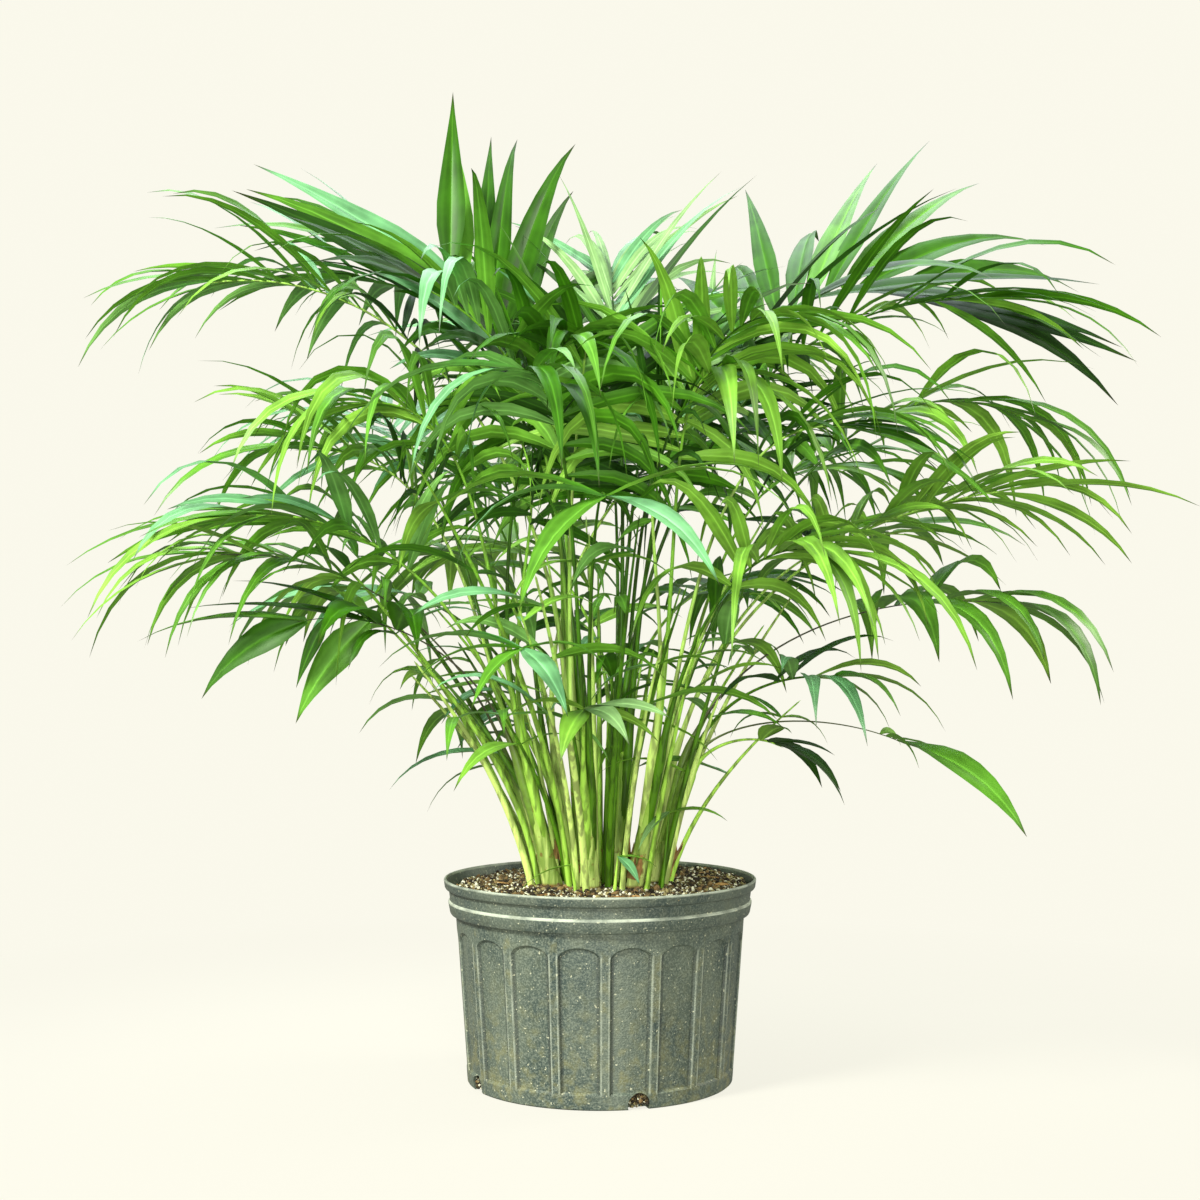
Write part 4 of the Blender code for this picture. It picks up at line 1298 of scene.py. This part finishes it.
# %% Leaflets: tones and materials
TONES = {
    # name: screen colour of the upper side, of the underside, brightened as painted light shining through,
    # and roughness
    # This darkest tone is painted shade, dealt to leaflets deep inside the crown and to one side of the crest
    # at the right
    "dusk": ((26, 66, 2), (34, 78, 2), 0.50),
    "deep": ((46, 98, 6), (58, 114, 8), 0.46),
    "leaf": ((80, 138, 34), (96, 154, 40), 0.42),
    "fresh": ((110, 164, 50), (124, 178, 56), 0.46),
    # This bluish tone is a painted sheen, standing for the sky mirrored on leaf tops
    "sea": ((102, 162, 108), (108, 162, 76), 0.36),
    "lime": ((108, 160, 48), (122, 172, 56), 0.50),
    "pale": ((126, 168, 104), (146, 184, 116), 0.55),
}
TONE_OF = {
    # frond: its tone, or one tone for its left side and one for its right
    "crest_left": ("sea", "deep"), "crown_left": ("leaf", "sea"), "crown_left_back": "sea",
    "middle_left": "leaf", "middle_left_front": ("sea", "leaf"), "low_left": "leaf",
    "lowest_left": ("deep", "leaf"), "front_high_left": ("sea", "deep"), "crest_right": ("deep", "dusk"),
    "crown_right": ("leaf", "deep"), "shoulder_right": "leaf", "middle_right": "fresh",
    "low_right": "leaf", "small_right": ("fresh", "sea"), "whip_right": "leaf",
    "front_centre": ("sea", "fresh"), "front_low_left": ("leaf", "sea"), "front_high_right": "fresh",
    "front_right": "fresh", "front_high": "deep", "front_low": "lime", "sprig_right": "fresh",
    "sprig_back": "fresh", "crest_back": "pale", "crest_back_right": "pale", "back_high_1": "pale",
    "back_high_2": "leaf", "back_high_3": "pale", "heart_1": "deep", "heart_2": "deep",
    "heart_3": "deep", "front_fill_1": "leaf", "front_fill_2": ("deep", "sea"), "front_fill_3": "leaf",
    "front_fill_4": "deep", "back_middle_3": "deep",
}
FILL_TONES = ("leaf", "deep", "fresh", "leaf", "sea")
# Now and then a leaflet takes the tone next to its own
NEXT_TONE = {
    "dusk": "deep", "deep": "leaf", "leaf": "fresh", "fresh": "lime", "sea": "leaf", "lime": "pale",
    "pale": "sea",
}
STRAY = 0.25
INNER_REACH = 0.18
INNER_HEIGHT = 0.66
INNER_SHARE = 0.80
VEINS = 26


def leaf_finish(name, screen, roughness):
    """A leaf's side: nearly plain, with fine veins, a paler midrib, and a dark dry tip."""
    leaf = Finish(name, paint(*screen), roughness, Specular_IOR_Level=0.25)
    cloudy = leaf.mix(leaf.mottle(30, 0.35, 0.65), tinted(screen, 0.86), tinted(screen, 1.10, 6))
    from_midrib = leaf.math("ABSOLUTE", leaf.math("SUBTRACT", leaf.map_place(0), 0.5))
    lines = leaf.math("SINE", leaf.times(from_midrib, VEINS))
    veined = leaf.mix(leaf.range(lines, -1.0, 1.0, 0.0, 0.16), cloudy, tinted(screen, 1.25, 16))
    ribbed = leaf.mix(leaf.range(from_midrib, 0.010, 0.075, 0.55, 0.0), veined, tinted(screen, 1.3, 28))
    leaf.give("Base Color", leaf.mix(leaf.range(leaf.map_place(1), 0.86, 1.0), ribbed, paint(44, 50, 14)))
    return leaf.material


def tones_of(frond, order):
    """A tone for each of the frond's leaflets. Most of those deep inside the crown take the darkest tone,
    painted shade.
    """
    draw = random.Random(900 + order)
    given = TONE_OF.get(short_name(frond), FILL_TONES[order % len(FILL_TONES)])
    tones = []
    for leaflet in frond.leaflets:
        tone = given if isinstance(given, str) else given[leaflet.side]
        x, y, z = leaflet.points[0]
        inside = sqrt(x**2 + y**2) < INNER_REACH and z < INNER_HEIGHT and "front" not in frond.name
        # Painted shade: leaflets deep inside the crown mostly take the darkest tone
        if inside and draw.random() < INNER_SHARE:
            tone = "dusk"
        tones.append(NEXT_TONE[tone] if draw.random() < STRAY else tone)
    return tones


heaps = {tone: Heap() for tone in TONES}
carried = {tone: set() for tone in TONES}
for order, frond in enumerate(fronds):
    for leaflet, tone in zip(frond.leaflets, tones_of(frond, order)):
        heaps[tone].add(leaflet.shape(), LEAF_FORM)
        carried[tone].add(frond.name)
for leaflet, tone in small_leaves:
    heaps[tone].add(leaflet.shape(), LEAF_FORM)
for tone, (upper, under, roughness) in TONES.items():
    sides = [
        leaf_finish(f"leaf_{tone}", upper, roughness),
        # The underside is paler, and brighter still as painted light shining through the leaf
        leaf_finish(f"leaf_{tone}_under", under, roughness + 0.1),
    ]
    dress(heaps[tone].make(f"leaflets_{tone}", sides, 38), "frond", *sorted(carried[tone]))

# %% [markdown]
# A petiole wraps the cane with a broad sheath, then narrows, and goes on as the rib between the
# leaflets. Each is a round tube along the frond's curve, with its own thickness at every station. It
# starts inside the top of its cane, so that it seems to unroll from it.

# %% Petioles and ribs
SHEATH_HALF = 0.0043
SHEATH_SHARE = 0.36
STALK_HALF = 0.0021
STALK_TAPER = 0.0014
SHEATH_DEPTH = 0.060
SUNK_RINGS = (1.0, 0.66, 0.33)
STALK_RINGS = 30
RIB_SIDES = 8
GROOVE = 0.16
GROOVE_RING = 5
WIRY = ("frond_low_left", "frond_lowest_left", "frond_low_right", "frond_whip_right")
WIRY_SHARE = 0.55
# Lit, middle and shaded copies of one stalk colour: painted light and painted shade, dealt to the stalks at
# random
STALK_TONES = {
    # name: screen colour low down, and high up
    "light": ((222, 250, 138), (178, 230, 100)),
    "middle": ((178, 230, 88), (134, 198, 58)),
    "shaded": ((88, 138, 24), (62, 114, 14)),
}


def tube_form(rings, sides):
    """Faces, map places and slots of a closed tube. Its two ends are closed by fans."""
    faces, places = [], []
    for ring in range(rings - 1):
        for j in range(sides):
            a, b = ring * sides + j, ring * sides + (j + 1) % sides
            faces.append([a, b, b + sides, a + sides])
            low, high = ring / (rings - 1), (ring + 1) / (rings - 1)
            left, right = j / sides, (j + 1) / sides
            places += [(left, low), (right, low), (right, high), (left, high)]
    foot, top = rings * sides, rings * sides + 1
    last = (rings - 1) * sides
    for j in range(sides):
        after = (j + 1) % sides
        faces.append([after, j, foot])
        faces.append([last + j, last + after, top])
        places += [(0.5, 0.0)] * 3 + [(0.5, 1.0)] * 3
    return faces, np.array(places), np.zeros(len(faces))


def tube_points(centres, frames, radius, sides, ends):
    """Points of a tube: radius(ring, angle) gives each one's distance from the middle."""
    rows = []
    for ring, (centre, (side, up)) in enumerate(zip(centres, frames)):
        for j in range(sides):
            angle = 2 * pi * j / sides
            rows.append(centre + (side * cos(angle) + up * sin(angle)) * radius(ring, angle))
    return rows + [centres[0] + ends[0], centres[-1] + ends[1]]


def rib_radius(t, bare):
    """Thick where it sheathes the cane, slender along the petiole, fine at the tip."""
    sheath = max(0.0, 1 - t / (SHEATH_SHARE * bare)) ** 1.6
    return STALK_HALF + (SHEATH_HALF - STALK_HALF) * sheath - STALK_TAPER * t


def rib_shape(frond):
    """The centres, frames and radii of a frond's stalk, from inside the cane to the tip."""
    cane = frond.cane
    centres, frames, radii = [], [], []
    for share in SUNK_RINGS:
        drop = cane.axis * (-SHEATH_DEPTH * share)
        centres.append(cane.top + frond.spread * FOOT_RING * (1 - 0.45 * share) + drop)
        frames.append(section_frame(cane.axis, frond.across))
        radii.append(SHEATH_HALF * (1 - 0.12 * share))
    for k in range(STALK_RINGS):
        t = k / (STALK_RINGS - 1)
        centres.append(frond.point(t))
        frames.append(frond.frame(t))
        radii.append(rib_radius(t, frond.bare))
    return centres, frames, radii


stalk_form = tube_form(len(SUNK_RINGS) + STALK_RINGS, RIB_SIDES)
shoot_form = tube_form(SHOOT_RINGS, RIB_SIDES)
stalks = {tone: Heap() for tone in (*STALK_TONES, "wiry")}
stalks_of = {tone: [] for tone in stalks}
draw = random.Random(33)
for frond in fronds:
    centres, frames, radii = rib_shape(frond)
    # each stalk is dealt a painted lit, middle or painted shaded copy at random
    tone = "wiry" if frond.name in WIRY else draw.choice(tuple(STALK_TONES))

    def stalk_radius(ring, angle):
        groove = GROOVE * max(0.0, sin(angle)) ** 4 if ring > GROOVE_RING else 0.0
        narrowing = min(1.0, max(0.0, (ring - GROOVE_RING) / 5)) if tone == "wiry" else 0.0
        return radii[ring] * (1 - groove) * (1 - (1 - WIRY_SHARE) * narrowing)

    ends = (-frond.cane.axis * 0.002, frond.tangent(1.0) * 0.006)
    stalks[tone].add(tube_points(centres, frames, stalk_radius, RIB_SIDES, ends), stalk_form)
    stalks_of[tone].append(frond.name)
for shoot in shoots + seedling_stems:
    ends = (Vector((0, 0, -0.001)), (shoot.centres[-1] - shoot.centres[-2]).normalized() * 0.004)
    points = tube_points(shoot.centres, shoot.frames, lambda ring, angle: shoot.radii[ring], RIB_SIDES, ends)
    stalks[draw.choice(tuple(STALK_TONES))].add(points, shoot_form)

for tone, (low, high) in STALK_TONES.items():
    stalk = Finish(f"stalk_{tone}", paint(*low), 0.42, Specular_IOR_Level=0.3)
    young = stalk.mix(stalk.range(stalk.place(2), 0.20, 0.46), paint(*low), paint(*high))
    streaks = stalk.mottle(170, 0.46, 0.58, stretch=(1, 1, 0.1))
    stalk.lay_coats(young, (streaks, 0.75, [value * 0.55 for value in low]))
    dress(stalks[tone].make(f"stalks_{tone}", [stalk.material], 60), "frond", *stalks_of[tone])

wire = Finish("wiry_stalk", paint(70, 72, 34), 0.45)
darkened = wire.mix(wire.range(wire.place(2), 0.24, 0.33), paint(120, 160, 56), paint(52, 50, 26))
wire.lay_coats(darkened, (wire.mottle(200, 0.4, 0.7), 0.5, (84, 98, 40)))
dress(stalks["wiry"].make("wiry_ribs", [wire.material], 60), "frond", *stalks_of["wiry"])

# %% [markdown]
# The canes are what is left of old leaves: tubes of sheath, one round the other, with a low step
# where each ends and a swollen pale foot. The steps run slantwise round the cane. They are part of
# the mesh, so they show in any light.

# %% Canes
CANE_SIDES = 24
CANE_RINGS_SHOWN = 44
CANE_SUNK = 0.006
SHOWN_WIDTH = 0.76
SHEATH_STEPS = (0.16, 0.36, 0.58, 0.80)
STEP_RISE = 0.0009
STEP_SLANT = 0.05
STEP_RIPPLE = 0.02
CLOSING_FROM = 0.93
CLOSING_SPAN = 0.07
FACING_BACK = Vector((0, 1, 0))

cane_form = tube_form(CANE_RINGS_SHOWN, CANE_SIDES)
stems = Heap()
for order, cane in enumerate(canes):
    draw = np.random.default_rng(700 + order)
    height = (cane.top - cane.foot).length
    slants = draw.uniform(0, 2 * pi, size=len(SHEATH_STEPS))
    shifts = draw.uniform(-0.05, 0.05, size=len(SHEATH_STEPS))
    swelling = draw.uniform(0.98, 1.18)
    shares = [ring / (CANE_RINGS_SHOWN - 1) for ring in range(CANE_RINGS_SHOWN)]
    centres = [cane.foot + cane.axis * (share * (height + CANE_SUNK) - CANE_SUNK) for share in shares]
    frames = [section_frame(cane.axis, FACING_BACK)] * CANE_RINGS_SHOWN

    def cane_radius(ring, angle):
        share = shares[ring]
        reach = SHOWN_WIDTH * cane.radius(share) * (1 + (swelling - 1) * (1 - share))
        for step, slant, shift in zip(SHEATH_STEPS, slants, shifts):
            edge = step + shift + STEP_SLANT * cos(angle - slant) + STEP_RIPPLE * cos(3 * angle + slant)
            reach -= STEP_RISE / 2 * np.clip((share - edge) / 0.02, 0, 1)
        reach *= 1 + 0.035 * cos(2 * angle + slants[0]) + 0.012 * cos(5 * angle + slants[1])
        closing = max(0.0, (share - CLOSING_FROM) / CLOSING_SPAN)
        return reach * sqrt(max(0.05, 1 - 0.8 * closing**2))

    ends = (-cane.axis * 0.002, cane.axis * 0.001)
    stems.add(tube_points(centres, frames, cane_radius, CANE_SIDES, ends), cane_form)

stem = Finish("cane_sheath", paint(186, 212, 104), 0.45, Specular_IOR_Level=0.3)
height = stem.place(2)
stem.lay_coats(
    stem.mix(stem.range(height, 0.176, 0.25), paint(218, 238, 140), paint(146, 190, 66)),
    (stem.mottle(120, 0.44, 0.60, stretch=(1, 1, 0.12)), 0.75, (82, 122, 22)),
    (stem.mottle(150, 0.60, 0.68), 0.8, (120, 92, 42)),
    (stem.range(height, 0.1735, 0.170), 1.0, (128, 96, 48)),
)
stem.bump(stem.mottle(420, 0.3, 0.7, stretch=(1, 1, 0.08)), 0.0005)
dress(stems.make("palm_canes", [stem.material], 50), "cane", *(cane.name for cane in canes))

# %% [markdown]
# Old sheaths dry, split and peel. Each scrap is a strip of a tube a little wider than its cane, torn
# to points along its top edge, and curling away from the cane. It is made as a thin closed shell.
# A few dry scraps of leaf lie on the mix near the wall.

# %% Torn sheaths and dry scraps
SCRAP_COLUMNS = 9
SCRAP_ROWS = 5
SCRAP_WALL = 0.0005
LITTER = 16


def scrap_form():
    """Faces of a closed sheet: its outer side, its inner side and its rim."""
    faces = []
    size = SCRAP_COLUMNS * SCRAP_ROWS
    for row in range(SCRAP_ROWS - 1):
        for column in range(SCRAP_COLUMNS - 1):
            a = row * SCRAP_COLUMNS + column
            quad = [a, a + 1, a + SCRAP_COLUMNS + 1, a + SCRAP_COLUMNS]
            faces.append(quad)
            faces.append([size + k for k in reversed(quad)])
    rim = list(range(SCRAP_COLUMNS))
    rim += [row * SCRAP_COLUMNS + SCRAP_COLUMNS - 1 for row in range(1, SCRAP_ROWS)]
    rim += [size - SCRAP_COLUMNS + column for column in range(SCRAP_COLUMNS - 2, -1, -1)]
    rim += [row * SCRAP_COLUMNS for row in range(SCRAP_ROWS - 2, 0, -1)]
    for a, b in zip(rim, rim[1:] + rim[:1]):
        faces.append([b, a, size + a, size + b])
    corners = sum(len(face) for face in faces)
    return faces, np.zeros((corners, 2)), np.zeros(len(faces))


def scrap_points(cane, draw):
    """A torn strip round a cane: the tears give each column its own height."""
    side, up = section_frame(cane.axis, FACING_BACK)
    middle, spread = draw.uniform(0, 2 * pi), radians(draw.uniform(45, 105))
    low, tall = draw.uniform(-0.001, 0.02), draw.uniform(0.016, 0.040)
    peel = draw.uniform(0.001, 0.006)
    tears = draw.uniform(0.35, 1.0, size=SCRAP_COLUMNS)
    rows = []
    for wall in (0.0, -SCRAP_WALL):
        for row in range(SCRAP_ROWS):
            share = row / (SCRAP_ROWS - 1)
            for column in range(SCRAP_COLUMNS):
                angle = middle + spread * (column / (SCRAP_COLUMNS - 1) - 0.5)
                height = low + tall * share * tears[column]
                reach = cane.radius(height / (cane.top - cane.foot).length) * 1.12 + 0.0006
                reach += peel * share**2 + wall
                spoke = side * cos(angle) + up * sin(angle)
                rows.append(cane.foot + cane.axis * height + spoke * reach)
    return rows


SCRAP_FORM = scrap_form()
scraps, litter = Heap(), Heap()
for order, cane in enumerate(canes):
    scraps.add(scrap_points(cane, np.random.default_rng(800 + order)), SCRAP_FORM)
husk = Finish("dry_sheath", paint(152, 112, 58), 0.8)
fibres = husk.mottle(260, 0.35, 0.65, stretch=(1, 1, 0.15))
husk.give("Base Color", husk.mix(fibres, paint(104, 68, 30), paint(196, 158, 96)))
husk.bump(husk.mottle(600, 0.3, 0.7, stretch=(1, 1, 0.1)), 0.0005)
dress(scraps.make("torn_sheaths", [husk.material], 60), "cane")

draw = random.Random(19)
for _ in range(LITTER):
    reach, bearing, turn = draw.uniform(0.070, 0.118), draw.uniform(0, 2 * pi), draw.uniform(0, 2 * pi)
    x, y = reach * cos(bearing), reach * sin(bearing)
    root = Vector((x, y, bed_height(x, y) + 0.002))
    scrap = Leaflet(root, Vector((cos(turn), sin(turn), 0.1)).normalized(), UP,
                    draw.uniform(0.010, 0.026), draw.uniform(0.0015, 0.004), 0.2, draw.uniform(-160, 160))
    litter.add(scrap.shape(), LEAF_FORM)
dress(litter.make("dry_scraps", [husk.material, husk.material], 60), "potting_mix")

# %% [markdown]
# The last step leaves nothing selected.

# %% Last step
bpy.ops.object.select_all(action="DESELECT")
